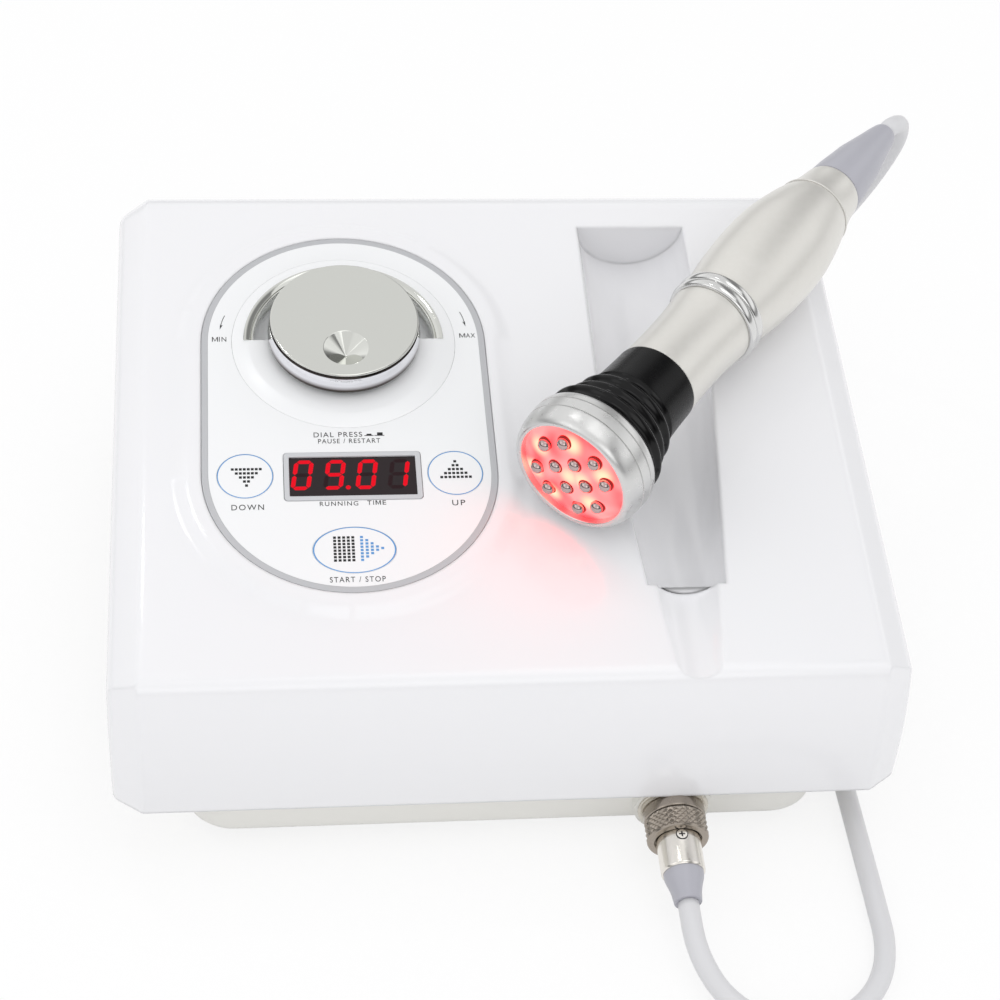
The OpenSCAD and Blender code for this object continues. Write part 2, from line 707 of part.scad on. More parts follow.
module socket_body() color("silver") along_conn(socket_y + 6) difference() {
    union() {
        cylinder(h = socket_y + 6 - boss_face, r = barrel_r0);
        translate([0, 0, socket_y + 6 - boss_face]) {
            cylinder(h = flange_t, r = 13.2);
            cylinder(h = neck_len, r = 10.8);
            translate([0, 0, 3.9]) cylinder(h = neck_len - 3.9, r = 11.2);
            cylinder(h = neck_len + 5.4, r = 9.6);
        }
    }
    translate([0, 0, -1]) cylinder(h = 60, r = insert_r + 0.1);
}

module socket_nut() color("silver") along_conn(socket_y + 4.5) difference() {
    cylinder(h = 4.3, r = 13, $fn = 6);
    translate([0, 0, -1]) cylinder(h = 8, r = barrel_r0 + 0.1);
}

module socket_insert() color([0.1, 0.1, 0.1]) along_conn(socket_y + 7) {
    cylinder(h = socket_y + 7 - boss_face + 4, r = insert_r);
    for (i = [0 : 4]) rotate([0, 0, 72 * i]) translate([4.2, 0, -4]) cylinder(h = 5, r = 0.9, $fn = 24);
}

module coupling_ring() color([0.6, 0.58, 0.55]) along_conn(ring_y) difference() {
    rotate_extrude($fn = 96) polygon([
        [plug_r + seat, 0], [ring_r - 0.4, 0], [ring_r, 0.5], [ring_r, ring_len - 0.9],
        [ring_r - 0.4, ring_len - 0.2], [ring_r - 0.9, ring_len],
        [plug_r + 0.7, ring_len], [plug_r + seat, ring_len - 0.8]]);
    translate([0, 0, -1]) cylinder(h = 7.3, r = 9.6 + seat);
}

plug_front = ring_y - 5.4;
plug_back = ring_y - ring_len - 14;  // end of the plug's back shell
clamp_len = 12;
screw_y = ring_y - ring_len - 2;

module plug_body() color("silver") along_conn(plug_front) difference() {
    union() {
        cylinder(h = plug_front - plug_back, r = plug_r);
        translate([0, 0, 0]) cylinder(h = 0.8, r = 8.9);
    }
    translate([0, 0, 1]) cylinder(h = 60, r = cord_d / 2 + 0.2);
    translate([0, plug_r - 1.6, plug_front - screw_y]) rotate([-90, 0, 0]) cylinder(h = 4, r = 2.05);
}

module plug_screw() color("silver") along_conn(screw_y)
    translate([0, plug_r - 1.5, 0]) rotate([-90, 0, 0]) cylinder(h = 1.7, r = 1.9);

module plug_clamp() color([0.75, 0.75, 0.74]) along_conn(plug_back) difference() {
    rotate_extrude() polygon([
        [0, 0], [plug_r - 0.8, 0], [plug_r - 1.2, 2.5], [cord_d / 2 + 1.6, 7],
        [cord_d / 2 + 1, clamp_len], [0, clamp_len]]);
}

// ---------------------------------------------------------------- handpiece
head_mid = 13;                       // where the head touches the deck
barrel_mid = 145;                    // where the rear barrel touches it
hand_dip = asin((head_r - barrel_r) / (barrel_mid - head_mid));
hand_x = 85.9;                       // the head's middle, in the deck's frame
hand_y = -77.4;

// Local Z runs down the handpiece from the head's rim to the tail
module on_hand() on_deck() translate([hand_x, hand_y, head_r + seat])
    rotate([0, 0, hand_heading]) rotate([0, 90 + hand_dip, 0])
        translate([0, 0, -head_mid]) children();

function hand_point(q) =
    let (s = q - head_mid, flat = s * cos(hand_dip))
    deck_point([hand_x + flat * cos(hand_heading), hand_y + flat * sin(hand_heading),
                head_r + seat - s * sin(hand_dip)]);

sleeve_at = 49;
grip_at = 66;
bead_at = 101;
rear_at = 113;
tail_at = 188;
shell_t = 2;

// Outline of the rear barrel: a long bulge that closes on the tail cap
function bulge(q) = barrel_r - (q < barrel_mid ? 2.5 * pow((barrel_mid - q) / 32, 2)
                                               : 7.2 * pow((q - barrel_mid) / 43, 1.75));

module turned(points) rotate_extrude($fn = 72) polygon(points);

module head_ring() color([0.84, 0.84, 0.83]) on_hand() turned(concat(
    [[lens_r + 0.2, 0.9], [lens_r + 0.6, 0.2]],
    [for (i = [0 : 8]) [head_r - 4 + 4 * sin(11.25 * i), 5 - 5 * cos(11.25 * i)]],
    [[head_r, 15.6], [head_r - 0.3, 15.9], [head_r - 0.3, 16.3], [head_r - 0.1, 16.6],
     [head_r - 0.3, 19.4], [head_r - 0.7, 19.7], [head_r - 0.7, 20.1], [head_r - 0.5, 20.4],
     [head_r - 0.9, head_len - 0.5], [head_r - 1.4, head_len], [head_r - 3.6, head_len],
     [head_r - 3.6, 5.4], [lens_r + 0.2, 5.4]]));

pin_grid = [for (r = [-1.5 : 1 : 1.5], k = [-1.5 : 1 : 1.5]) if (abs(r) + abs(k) < 2.5) [k, r]];
pin_turn = hand_heading;             // the pin rows' turn about the handpiece's axis
lens_face = 1.6;

module at_pins() rotate([0, 0, pin_turn]) for (p = pin_grid)
    translate([p[0] * pin_pitch, p[1] * pin_pitch, 0]) children();

module head_lens() color([1, 0.5, 0.5]) on_hand() difference() {
    turned([[0, lens_face - 0.4], [lens_r * 0.6, lens_face - 0.2], [lens_r, lens_face],
            [lens_r, 4.4], [0, 4.4]]);
    at_pins() translate([0, 0, -5]) cylinder(h = 20, r = pin_r + 0.1);
}

module electrode_pins() color("silver") on_hand() at_pins() rotate_extrude() polygon(concat(
    [for (i = [0 : 6]) [pin_r * sin(15 * i), -1.3 + pin_r - pin_r * cos(15 * i)]],
    [[pin_r, 7.4], [1, 7.4], [1, 9.4], [0, 9.4]]));

module led_board() color("white") on_hand() translate([0, 0, 7.5]) difference() {
    cylinder(h = 1.6, r = lens_r, $fn = 72);
    at_pins() translate([0, 0, -1]) cylinder(h = 5, r = 1.1);
}

module head_block() color("silver") on_hand() turned([
    [0, 9.6], [head_r - 3.8, 9.6], [head_r - 3.8, head_len - 1], [grip_r - 4.5, head_len - 1],
    [grip_r - 4.5, grip_at + 4], [0, grip_at + 4]]);

module bellows() color([0.08, 0.08, 0.08]) on_hand() turned(concat(
    [[head_r - 3.8, head_len - 0.8], [head_r - 3.8, head_len + 0.1], [head_r - 1.6, head_len + 0.1]],
    [for (i = [1 : 24]) let (t = i / 24, q = head_len + 0.1 + t * (sleeve_at - head_len - 0.2))
        [head_r - 3.2 - 6.4 * t + 1.2 * (1 - 0.5 * t) * cos(360 * 3 * t), q]],
    [[grip_r - 4.3, sleeve_at - 0.1], [grip_r - 4.3, sleeve_at - 1.5],
     [head_r - 7, head_len + 1.5], [head_r - 7, head_len - 0.8]]));

module neck_sleeve() color([0.1, 0.1, 0.1]) on_hand() turned([
    [grip_r - 4.3, sleeve_at], [grip_r + 0.9, sleeve_at], [grip_r + 1.2, sleeve_at + 0.6],
    [grip_r + 0.7, grip_at - 0.6], [grip_r + 0.4, grip_at - 0.1], [grip_r - 4.3, grip_at - 0.1]]);

module front_barrel() color([0.86, 0.86, 0.84]) on_hand() turned([
    [grip_r - 0.2, grip_at], [grip_r, grip_at + 0.4], [grip_r, grip_at + 14],
    [grip_r + 0.25, grip_at + 22], [grip_r + 0.9, grip_at + 29], [grip_r + 1.6, bead_at - 0.1],
    [grip_r - shell_t, bead_at - 0.1], [grip_r - shell_t, grip_at + 6],
    [grip_r - 4.3, grip_at + 6], [grip_r - 4.3, grip_at]]);

// Two round beads side by side
module bead_ring() color("silver") on_hand() turned(concat(
    [[grip_r - shell_t, bead_at], [grip_r + 1.8, bead_at]],
    [for (k = [0, 1], i = [1 : 7]) [grip_r + 2 + 1.1 * sin(22.5 * i),
                                    bead_at + 0.4 + k * 5.8 + 2.7 - 2.7 * cos(22.5 * i)]],
    [[grip_r + 1.9, rear_at - 0.1], [grip_r - shell_t, rear_at - 0.1]]));

module rear_barrel() color([0.86, 0.86, 0.84]) on_hand() turned(concat(
    [for (i = [0 : 20]) let (q = rear_at + (tail_at - 1 - rear_at) * i / 20) [bulge(q), q]],
    [[bulge(tail_at - 1) - 0.7, tail_at - 0.1], [grip_r - 5, tail_at - 0.1]],
    [for (i = [16 : -1 : 0]) let (q = rear_at + (tail_at - 5 - rear_at) * i / 16)
        [max(bulge(q) - shell_t, grip_r - 5), q]]));

module handpiece_board() color("darkgreen") on_hand() translate([-10, -board_t / 2, grip_at + 4.2])
    cube([20, board_t, 100]);

module tail_cap() color([0.86, 0.86, 0.84]) on_hand() turned([
    [6, tail_at], [grip_r - 2.8, tail_at], [grip_r - 2.5, tail_at + 0.5],
    [grip_r - 3.2, tail_at + 8], [grip_r - 4.4, hand_len - 1.2], [grip_r - 5.3, hand_len - 0.1],
    [6, hand_len - 0.1]]);

boot_tip = hand_len + boot_len;

module cable_boot() color([0.62, 0.63, 0.66]) on_hand() turned([
    [0, tail_at + 2], [5.8, tail_at + 2], [5.8, hand_len], [grip_r - 4.9, hand_len],
    [grip_r - 4.6, hand_len + 0.6], [grip_r - 5.9, hand_len + 15],
    [cord_d / 2 + 1.2, boot_tip - 0.6], [cord_d / 2 + 0.8, boot_tip], [0, boot_tip]]);

// ---------------------------------------------------------------- cable
floor_z = cord_d / 2 - foot_h;       // the cable's middle where it lies on the table
tip = hand_point(boot_tip + seat);
tip_dir = unit(hand_point(boot_tip + 10) - hand_point(boot_tip));

coil_at = [40, 189];
coil_r = 44;
coil_h = 15;

// From the plug, round the right-hand end and under the housing's edge to the coil
front_route = concat(
    [conn_point(plug_back - clamp_len - 0.2), conn_point(plug_back - clamp_len - 6)],
    [[61.5, -178, 7.8], [64, -187, 5], [69, -196, 2], [77, -204, 0.4], [88, -209.5, 0],
     [100, -210.5, 0], [112, -207, 0], [122, -199.5, 0], [129, -189, 0], [132.5, -176, 0],
     [133, -160, 0],
     [133, -132, 0], [133, -90, 0], [133, -45, 0], [133, 0, 0], [133, 45, 0], [133, 88, 0],
     [133, 112, 0], [130, 123, 0], [122, 130, 0], [110, 132.6, 0], [90, 132.7, 0],
     [65, 132.7, 0], [40, 132.7, 0]]);

// From the coil's outer turn up to the boot
rear_route = concat(
    [[40, 245.3, 0], [58, 244, 0], [76, 239, 0], [93, 231, 0], [110, 221, 1], [126, 209, 5],
     [141, 197, 15], [154, 186, 31], [166, 176, 52], [176, 168, 76], [184, 161, 100],
     [189, 155, 122], [187, 147.5, 137]],
    [tip + 6 * tip_dir, tip]);

// A tube of d across along a route; aside is a direction the route never takes
function heading_at(r, i) = let (n = len(r) - 1)
    i == 0 ? unit(r[1] - r[0]) : i == n ? unit(r[n] - r[n - 1])
           : unit(unit(r[i + 1] - r[i]) + unit(r[i] - r[i - 1]));

module tube(r, d, aside, m = 8) {
    n = len(r) - 1;
    polyhedron([for (i = [0 : n]) let (v = heading_at(r, i), s = unit(cross(v, aside)), u = cross(s, v))
                for (k = [0 : m - 1]) let (a = 360 * k / m) r[i] + d / 2 * (cos(a) * s + sin(a) * u)],
        concat(
            [[for (k = [0 : m - 1]) k]],
            [[for (k = [m - 1 : -1 : 0]) n * m + k]],
            [for (i = [0 : n - 1], k = [0 : m - 1]) let (j = (k + 1) % m)
                [i * m + k, (i + 1) * m + k, (i + 1) * m + j, i * m + j]]));
}

module cord_front() color([0.93, 0.93, 0.93]) tube(front_route, cord_d, [0, 0, 1]);
module cord_rear() color([0.93, 0.93, 0.93]) tube(rear_route, cord_d, [1, -0.2, -0.7]);

module cord_coil() color([0.93, 0.93, 0.93]) translate([coil_at[0], coil_at[1], -foot_h])
    rotate_extrude($fn = 72) polygon([
        [coil_r - cord_d, 0], [coil_r + cord_d, 0], [coil_r + cord_d, cord_d],
        [coil_r + cord_d / 2, coil_h], [coil_r - cord_d / 2, coil_h], [coil_r - cord_d, cord_d]]);

// Hook-and-loop tie round the coil, on the side away from the housing
module cord_tie() color([0.1, 0.1, 0.1]) translate([coil_at[0] - 6, coil_at[1], -foot_h])
    rotate([90, 0, 90]) linear_extrude(12) difference() {
        translate([coil_r - cord_d - 2, 0]) square([2 * cord_d + 2.2, coil_h + 1.8]);
        translate([coil_r - cord_d - 0.6, -1]) square([2 * cord_d + 0.6, coil_h + 1.3]);
    }

top_shell();
base_tray();
rubber_feet();
housing_screws();
control_overlay();
dial_surround();
pocket_liner();
display_bezel();
display_window();
display_module();
control_board();
tact_switches();
down_key();
up_key();
start_stop_key();
encoder_body();
dial_plunger();
dial_shaft();
dial_knob();
main_board();
transformer();
output_stage();
wire_loom();
mains_inlet();
inlet_screws();
switch_frame();
power_rocker();
socket_body();
socket_nut();
socket_insert();
coupling_ring();
plug_body();
plug_screw();
plug_clamp();
head_ring();
head_lens();
electrode_pins();
led_board();
head_block();
bellows();
neck_sleeve();
front_barrel();
bead_ring();
rear_barrel();
handpiece_board();
tail_cap();
cable_boot();
cord_front();
cord_coil();
cord_tie();
cord_rear();
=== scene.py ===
from math import asin, atan2, cos, pi, radians, sin, tan

import bmesh
import bpy
from mathutils import Matrix, Vector


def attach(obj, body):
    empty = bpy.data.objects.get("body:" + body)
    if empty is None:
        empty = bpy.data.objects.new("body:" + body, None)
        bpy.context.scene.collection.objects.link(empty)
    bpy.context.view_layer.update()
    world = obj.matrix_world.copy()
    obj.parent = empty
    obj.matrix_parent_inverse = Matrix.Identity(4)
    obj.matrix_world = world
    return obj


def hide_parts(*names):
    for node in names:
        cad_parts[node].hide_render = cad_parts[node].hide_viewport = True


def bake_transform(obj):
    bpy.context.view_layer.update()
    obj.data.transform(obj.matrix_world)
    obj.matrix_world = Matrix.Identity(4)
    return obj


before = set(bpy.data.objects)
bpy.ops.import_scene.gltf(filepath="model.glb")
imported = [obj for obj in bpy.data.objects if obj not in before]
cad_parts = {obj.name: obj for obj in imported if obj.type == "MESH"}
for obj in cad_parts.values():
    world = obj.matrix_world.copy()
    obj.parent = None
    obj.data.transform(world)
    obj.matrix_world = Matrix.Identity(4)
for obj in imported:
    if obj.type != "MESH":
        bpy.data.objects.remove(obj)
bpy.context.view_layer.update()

scene = bpy.context.scene
MM = 0.001
ROUND = Matrix.Scale(MM, 4)


# ---------------------------------------------------------------- camera
# The console stands with its underside at z = 0 and its rubber feet below it.
FLOOR_Z = -4.0
camera_data = bpy.data.cameras.new("camera")
camera = bpy.data.objects.new("camera", camera_data)
scene.collection.objects.link(camera)
scene.camera = camera
camera_data.sensor_width = 36.0
camera_data.lens = 80.33
camera_data.clip_end = 20.0
TILT = radians(10)
tilt = Matrix.Rotation(TILT, 3, "X")
right = tilt @ Vector((0.9936, -0.0815, 0.0781))
down = tilt @ Vector((-0.0175, -0.7949, -0.6065))
forward = right.cross(down).normalized()
down = forward.cross(right).normalized()
camera.matrix_world = Matrix.Translation(Vector((-93.475, -644.954, 654.998)) * MM) @ Matrix(
    (right, -down, -forward)).transposed().to_4x4()


# ---------------------------------------------------------------- places
DECK = Matrix.Translation((-56.0, 36.1452, 108.4152)) @ Matrix.Rotation(TILT, 4, "X")
HEAD_R, BARREL_R, HEAD_MID, BARREL_MID = 26.4, 20.9, 13.0, 145.0
DIP = asin((HEAD_R - BARREL_R) / (BARREL_MID - HEAD_MID))
HAND = (DECK @ Matrix.Translation((85.9, -77.4, HEAD_R + 0.3)) @ Matrix.Rotation(radians(50.7), 4, "Z")
        @ Matrix.Rotation(radians(90) + DIP, 4, "Y") @ Matrix.Translation((0, 0, -HEAD_MID)))
# Z runs out of the front connector from the boss's face on, and Y points up
PLUG = Matrix.Translation((61.0, -122.6, 14.5)) @ Matrix.Rotation(radians(96), 4, "X")
# Heights above the deck's plane
BED_Z, FILM_Z, SURROUND_Z, DIAL_Z = 1.5, 2.5, 3.7, 5.0


# ---------------------------------------------------------------- materials
def linear(hex_colour):
    """A hex colour as linear RGBA."""
    out = []
    for i in (0, 2, 4):
        c = int(hex_colour[i:i + 2], 16) / 255
        out.append(c / 12.92 if c <= 0.04045 else ((c + 0.055) / 1.055) ** 2.4)
    return (*out, 1.0)


def add(tree, kind, links=(), **settings):
    """Adds a node; links are (socket here, source node, source socket)."""
    n = tree.nodes.new("ShaderNode" + kind)
    for key, value in settings.items():
        if key.startswith("in_"):
            place = key[3:].replace("_", " ")
            socket = n.inputs[int(place)] if place.isdigit() else n.inputs[place]
            socket.default_value = value
        else:
            setattr(n, key, value)
    for here, source, there in links:
        tree.links.new(source.outputs[there], n.inputs[here])
    return n


def surface(name, colour, **shader):
    """A material with its Principled shader; colour is a hex value."""
    m = bpy.data.materials.new(name)
    m.use_nodes = True
    b = m.node_tree.nodes["Principled BSDF"]
    b.inputs["Base Color"].default_value = linear(colour)
    for key, value in shader.items():
        b.inputs[key.replace("_", " ")].default_value = value
    return m, m.node_tree, b


def grain(tree, b, size_mm, depth_mm, detail=2.0, strength=1.0, stretch=(1, 1, 1)):
    """Surface relief from noise whose lumps are size_mm across."""
    at = add(tree, "TexCoord")
    spread = add(tree, "Mapping", [("Vector", at, "Object")], in_Scale=stretch)
    n = add(tree, "TexNoise", [("Vector", spread, "Vector")], in_Scale=1000 / size_mm, in_Detail=detail)
    bump = add(tree, "Bump", [("Height", n, "Fac")], in_Distance=depth_mm * MM, in_Strength=strength)
    tree.links.new(bump.outputs["Normal"], b.inputs["Normal"])
    return n


def mottle(tree, b, source, least, most):
    """Lets a noise move the roughness between two values."""
    r = add(tree, "MapRange", [("Value", source, "Fac")], in_From_Min=0.3, in_From_Max=0.7, in_To_Min=least,
            in_To_Max=most)
    tree.links.new(r.outputs["Result"], b.inputs["Roughness"])


def textured(name, colour, size_mm, depth_mm, least, most, stretch=(1, 1, 1), **shader):
    """A material with one noise for its relief and for its roughness, which runs from least to most."""
    m, tree, b = surface(name, colour, **shader)
    mottle(tree, b, grain(tree, b, size_mm, depth_mm, stretch=stretch), least, most)
    return m


def rounded(material, radius_mm):
    """Makes the edges of a material with relief read as rounded."""
    tree = material.node_tree
    edge = add(tree, "Bevel", in_Radius=radius_mm * MM, samples=4)
    bump = tree.nodes["Principled BSDF"].inputs["Normal"].links[0].from_node
    tree.links.new(edge.outputs["Normal"], bump.inputs["Normal"])


def ramp(tree, source, socket, rows):
    """A colour ramp whose stops are (place, colour) rows."""
    n = add(tree, "ValToRGB", [("Fac", source, socket)])
    stops = n.color_ramp.elements
    while len(stops) < len(rows):
        stops.new(0.5)
    for stop, (place, colour) in zip(stops, rows):
        stop.position, stop.color = place, colour
    return n


def greys(rows):
    """Grey levels as the stops of a ramp."""
    return [(place, (level, level, level, 1)) for place, level in rows]


# Polished injection-moulded ABS: even white, sharp reflections, a faint sink ripple
abs_white = textured("moulded_white_abs", "F3F3F5", 14.0, 0.02, 0.13, 0.19, Roughness=0.16, IOR=1.53,
                     Coat_Weight=0.25, Coat_Roughness=0.06)
rounded(abs_white, 2.0)

# Textured ABS: warm off-white with a fine spark-eroded grain
abs_grey = textured("textured_base_abs", "EFEEE9", 0.5, 0.02, 0.38, 0.48, Roughness=0.42, IOR=1.53)

# Screen-printed polycarbonate film: clean cool white, slightly softer than the housing
film = textured("printed_polycarbonate_film", "F6F7F8", 1.2, 0.004, 0.19, 0.26, Roughness=0.22, IOR=1.58)

# Silver ink on the film: soft metallic grey
silver_ink = textured("silver_screen_ink", "C2C3C6", 0.4, 0.004, 0.33, 0.43, Roughness=0.38, Metallic=0.35)

# Painted frame of the display: pale cool grey
bezel_grey = textured("satin_painted_frame", "CDCFD2", 0.5, 0.004, 0.3, 0.4, Roughness=0.35)

# Black ink: dense, barely glossy
black_ink = textured("black_screen_ink", "0C0C0F", 0.3, 0.003, 0.4, 0.5, Roughness=0.45)

# Blue ink: clear sky blue
blue_ink = textured("blue_screen_ink", "5C9AD6", 0.3, 0.003, 0.38, 0.47, Roughness=0.42)

# Chromium plate on a turned dial: mirror-like, with a faint unevenness that softens its streaks
chrome = textured("chromium_plate", "DBDCD7", 3.0, 0.002, 0.05, 0.09, Metallic=1.0, Roughness=0.07)

# Plate on the dial's side, with painted shade and reflection: painted darker towards the foot as shade,
# painted paler above as a reflection, and a painted dark line of shade in the groove.
# Each colour has its height above the deck.
DIAL_SIDE_PAINTED_SHADE = [(5.0, "1E1917"), (7.5, "4A423E"), (8.3, "A8A4A6"), (9.8, "ECECF0"), (13.2, "F0F0F4"),
             (13.4, "35312F"), (14.3, "35312F"), (14.45, "E4E4E4")]
SIDE_LOW, SIDE_SPAN = 5.0, 10.0
# Chrome of the dial's band, whose colour carries painted shade and reflection by height
side_chrome_painted_shade, t, b = surface("chromium_plate_side_painted_shade", "E4E4E4", Metallic=1.0, Roughness=0.12)
mottle(t, b, grain(t, b, 3.0, 0.002), 0.09, 0.15)
at = add(t, "TexCoord")
DECK_UP = (0, -sin(TILT), cos(TILT))
above = add(t, "VectorMath", [(0, at, "Object")], operation="DOT_PRODUCT", in_1=DECK_UP)
side_foot = (DECK.translation * MM).dot(Vector(DECK_UP)) + SIDE_LOW * MM
share = add(t, "MapRange", [("Value", above, "Value")], in_From_Min=side_foot,
            in_From_Max=side_foot + SIDE_SPAN * MM)
# The ramp paints shade and reflection on the dial's side by height
side_painted_shade = ramp(t, share, "Result",
                 [((h - SIDE_LOW) / SIDE_SPAN, linear(colour)) for h, colour in DIAL_SIDE_PAINTED_SHADE])
t.links.new(side_painted_shade.outputs["Color"], b.inputs["Base Color"])

# Polished steel of the contact pins: sharp reflections, with a slight rose cast that is painted reflection of
# the red lens round them
pin_steel_painted_rose = textured("polished_pin_steel", "BEACAA", 1.5, 0.002, 0.04, 0.08, Metallic=1.0, Roughness=0.05)

# Chromium plate on the handpiece's beads: polished less, so its streaks are softer
satin_chrome = textured("satin_chromium_plate", "DCDCDB", 2.0, 0.003, 0.1, 0.16, Metallic=1.0,
                        Roughness=0.13)

# Dark nickel plate on brass: warm grey, its polish uneven from handling
nickel = textured("dark_nickel_plate", "A39A90", 1.5, 0.006, 0.16, 0.28, Metallic=1.0, Roughness=0.22)

# Satin nickel of the flange: paler than the ring that turns on it
pale_nickel = textured("satin_nickel_plate", "C9C4BA", 1.5, 0.008, 0.24, 0.36, Metallic=1.0, Roughness=0.3)

# Bright nickel plate: paler still and smoother
bright_nickel = textured("bright_nickel_plate", "EAE6DF", 2.0, 0.006, 0.15, 0.27, Metallic=1.0,
                         Roughness=0.18)

# Zinc-plated steel: grey with a slight bloom
steel = textured("zinc_plated_steel", "B4B6B8", 0.8, 0.01, 0.27, 0.42, Metallic=1.0, Roughness=0.34)

# Silver metallic lacquer on plastic: fine flake that softens its reflections
lacquer, t, b = surface("silver_flake_lacquer", "E4E2DD", Metallic=0.55, Roughness=0.42, Coat_Weight=0.35,
                        Coat_Roughness=0.16)
flake = grain(t, b, 2.5, 0.0001, detail=1.0, strength=0.3)
mottle(t, b, flake, 0.4, 0.44)
tone = add(t, "MixRGB", [("Fac", flake, "Fac")], in_Color1=linear("E2E0DA"), in_Color2=linear("E6E4DF"))
t.links.new(tone.outputs["Color"], b.inputs["Base Color"])

# The head's ring: the same lacquer over a smoother part, so it reads as a cooler silver with soft highlights
head_silver, t, b = surface("smooth_silver_lacquer", "D9D9D8", Metallic=0.85, Roughness=0.3)
flake = grain(t, b, 2.5, 0.0001, detail=1.0, strength=0.3)
mottle(t, b, flake, 0.27, 0.34)

# Moulded rubber: deep black with narrow highlights along its ridges
rubber = textured("moulded_black_rubber", "050506", 1.5, 0.003, 0.13, 0.18, Roughness=0.15,
                  Specular_IOR_Level=0.28)

# Machined sleeve, black: smoother than the rubber
sleeve_black = textured("satin_black_plastic", "050506", 1.5, 0.002, 0.23, 0.3, Roughness=0.26,
                        Specular_IOR_Level=0.2)

# Grey vinyl of the cable boot: smooth, with a soft sheen
vinyl = textured("grey_vinyl", "B3B3BB", 1.2, 0.008, 0.3, 0.4, Roughness=0.34, IOR=1.5)

# Extruded cable jacket: pale grey, dull and slightly uneven
jacket = textured("extruded_cable_jacket", "DCDCDE", 2.5, 0.03, 0.34, 0.46, Roughness=0.4, IOR=1.5)

# Woven hook-and-loop: dull black with small loops
hook_loop, t, b = surface("woven_hook_and_loop", "151517", Roughness=0.85, Sheen_Weight=0.4)
grain(t, b, 0.5, 0.3, detail=4.0)

# Plain black moulding of inlet, switch and socket: dull with a fine grain
black_abs = textured("black_moulding", "19191B", 0.5, 0.015, 0.35, 0.47, Roughness=0.4)

# Smoked filter in front of the digits: near black with a red cast
filter_red = textured("smoked_filter", "241A1D", 8.0, 0.003, 0.06, 0.1, Roughness=0.08, IOR=1.49,
                      Specular_IOR_Level=0.3)

# Lit segments: saturated red light
lit = textured("lit_segment", "200004", 0.6, 0.002, 0.25, 0.35, Roughness=0.3, Specular_IOR_Level=0.1,
               Emission_Color=linear("EC001C"), Emission_Strength=1.0)

# Unlit segments: a shade redder than the filter
unlit = textured("unlit_segment", "2B191D", 0.6, 0.002, 0.25, 0.35, Roughness=0.3, Specular_IOR_Level=0.1)

# Fibreglass board: green solder mask, glossy over a faint unevenness
board = textured("solder_masked_fibreglass", "1F5A34", 0.8, 0.02, 0.25, 0.4, Roughness=0.3)

# Varnished laminations and windings: brown with fine stripes
varnish = textured("varnished_laminations", "6E5238", 0.6, 0.03, 0.35, 0.55, stretch=(1, 1, 12),
                   Roughness=0.45, Metallic=0.4)

# Milled aluminium: pale grey with shallow tool marks
aluminium = textured("milled_aluminium", "BDBEC0", 0.6, 0.01, 0.28, 0.42, Metallic=1.0, Roughness=0.35)

# Back-lit acrylic: pink-red with hot spots where lamps stand behind it.
# The red light is about three times as strong as a white surface, so that it reaches the deck
LENS_GLOW = 3.0
# Lamps, in the head's plane: across and up
LAMPS = [(-5.0, 14.5), (14.0, 6.5), (8.5, -9.5), (-8.0, -12.0), (-14.5, 2.0), (0.5, 0.5), (8.0, 15.5),
         (-1.0, -4.5)]
LAMP_Z, SPOT_CORE, SPOT_EDGE = 2.0, 0.4, 6.2
acrylic, t, b = surface("backlit_acrylic", "A83A38", Roughness=0.2, IOR=1.49, Specular_IOR_Level=0.3,
                        Emission_Strength=LENS_GLOW)
at = add(t, "TexCoord")
haze = add(t, "TexNoise", [("Vector", at, "Object")], in_Scale=75.0, in_Detail=1.0)
clouds = add(t, "MapRange", [("Value", haze, "Fac")], in_From_Min=0.36, in_From_Max=0.62)
glow = None
for u, v in LAMPS:
    spot = HAND @ Vector((u, v, LAMP_Z)) * MM
    d = add(t, "VectorMath", [(0, at, "Object")], operation="DISTANCE", in_1=spot)
    s = add(t, "MapRange", [("Value", d, "Value")], in_From_Min=SPOT_CORE * MM, in_From_Max=SPOT_EDGE * MM,
            interpolation_type="SMOOTHERSTEP", in_To_Min=1.0, in_To_Max=0.0)
    glow = s if glow is None else add(t, "Math", [(0, glow, 0), (1, s, "Result")], operation="MAXIMUM")
base = add(t, "MixRGB", [("Fac", clouds, "Result")], in_Color1=linear("FF3036"), in_Color2=linear("FF6362"))
hot = add(t, "MixRGB", [("Fac", glow, 0), ("Color1", base, "Color")], in_Color2=linear("FF9478"))
t.links.new(hot.outputs["Color"], b.inputs["Emission Color"])

# Acrylic collars round the pins, where the lamps light the wall of each hole less
acrylic_dark = textured("shaded_acrylic", "5A1414", 0.8, 0.003, 0.2, 0.3, Roughness=0.25, IOR=1.49,
                        Emission_Color=linear("A81C18"), Emission_Strength=0.5)


# ---------------------------------------------------------------- making pieces
def shade(me, sharp):
    """Corner normals weighted by face area, so that wide flat faces stay flat beside small round ones."""
    limit = cos(radians(sharp))
    around = [[] for _ in me.vertices]
    faces = [(p.normal.copy(), p.normal * p.area * 1e6) for p in me.polygons]
    for p in me.polygons:
        for v in p.vertices:
            around[v].append(p.index)
    corners = []
    for p in me.polygons:
        mine = faces[p.index][0]
        for v in p.vertices:
            total = sum((faces[q][1] for q in around[v] if faces[q][0].dot(mine) > limit), Vector())
            corners.append(total.normalized() if total.length > 1e-9 else mine)
    me.shade_smooth()
    me.normals_split_custom_set(corners)


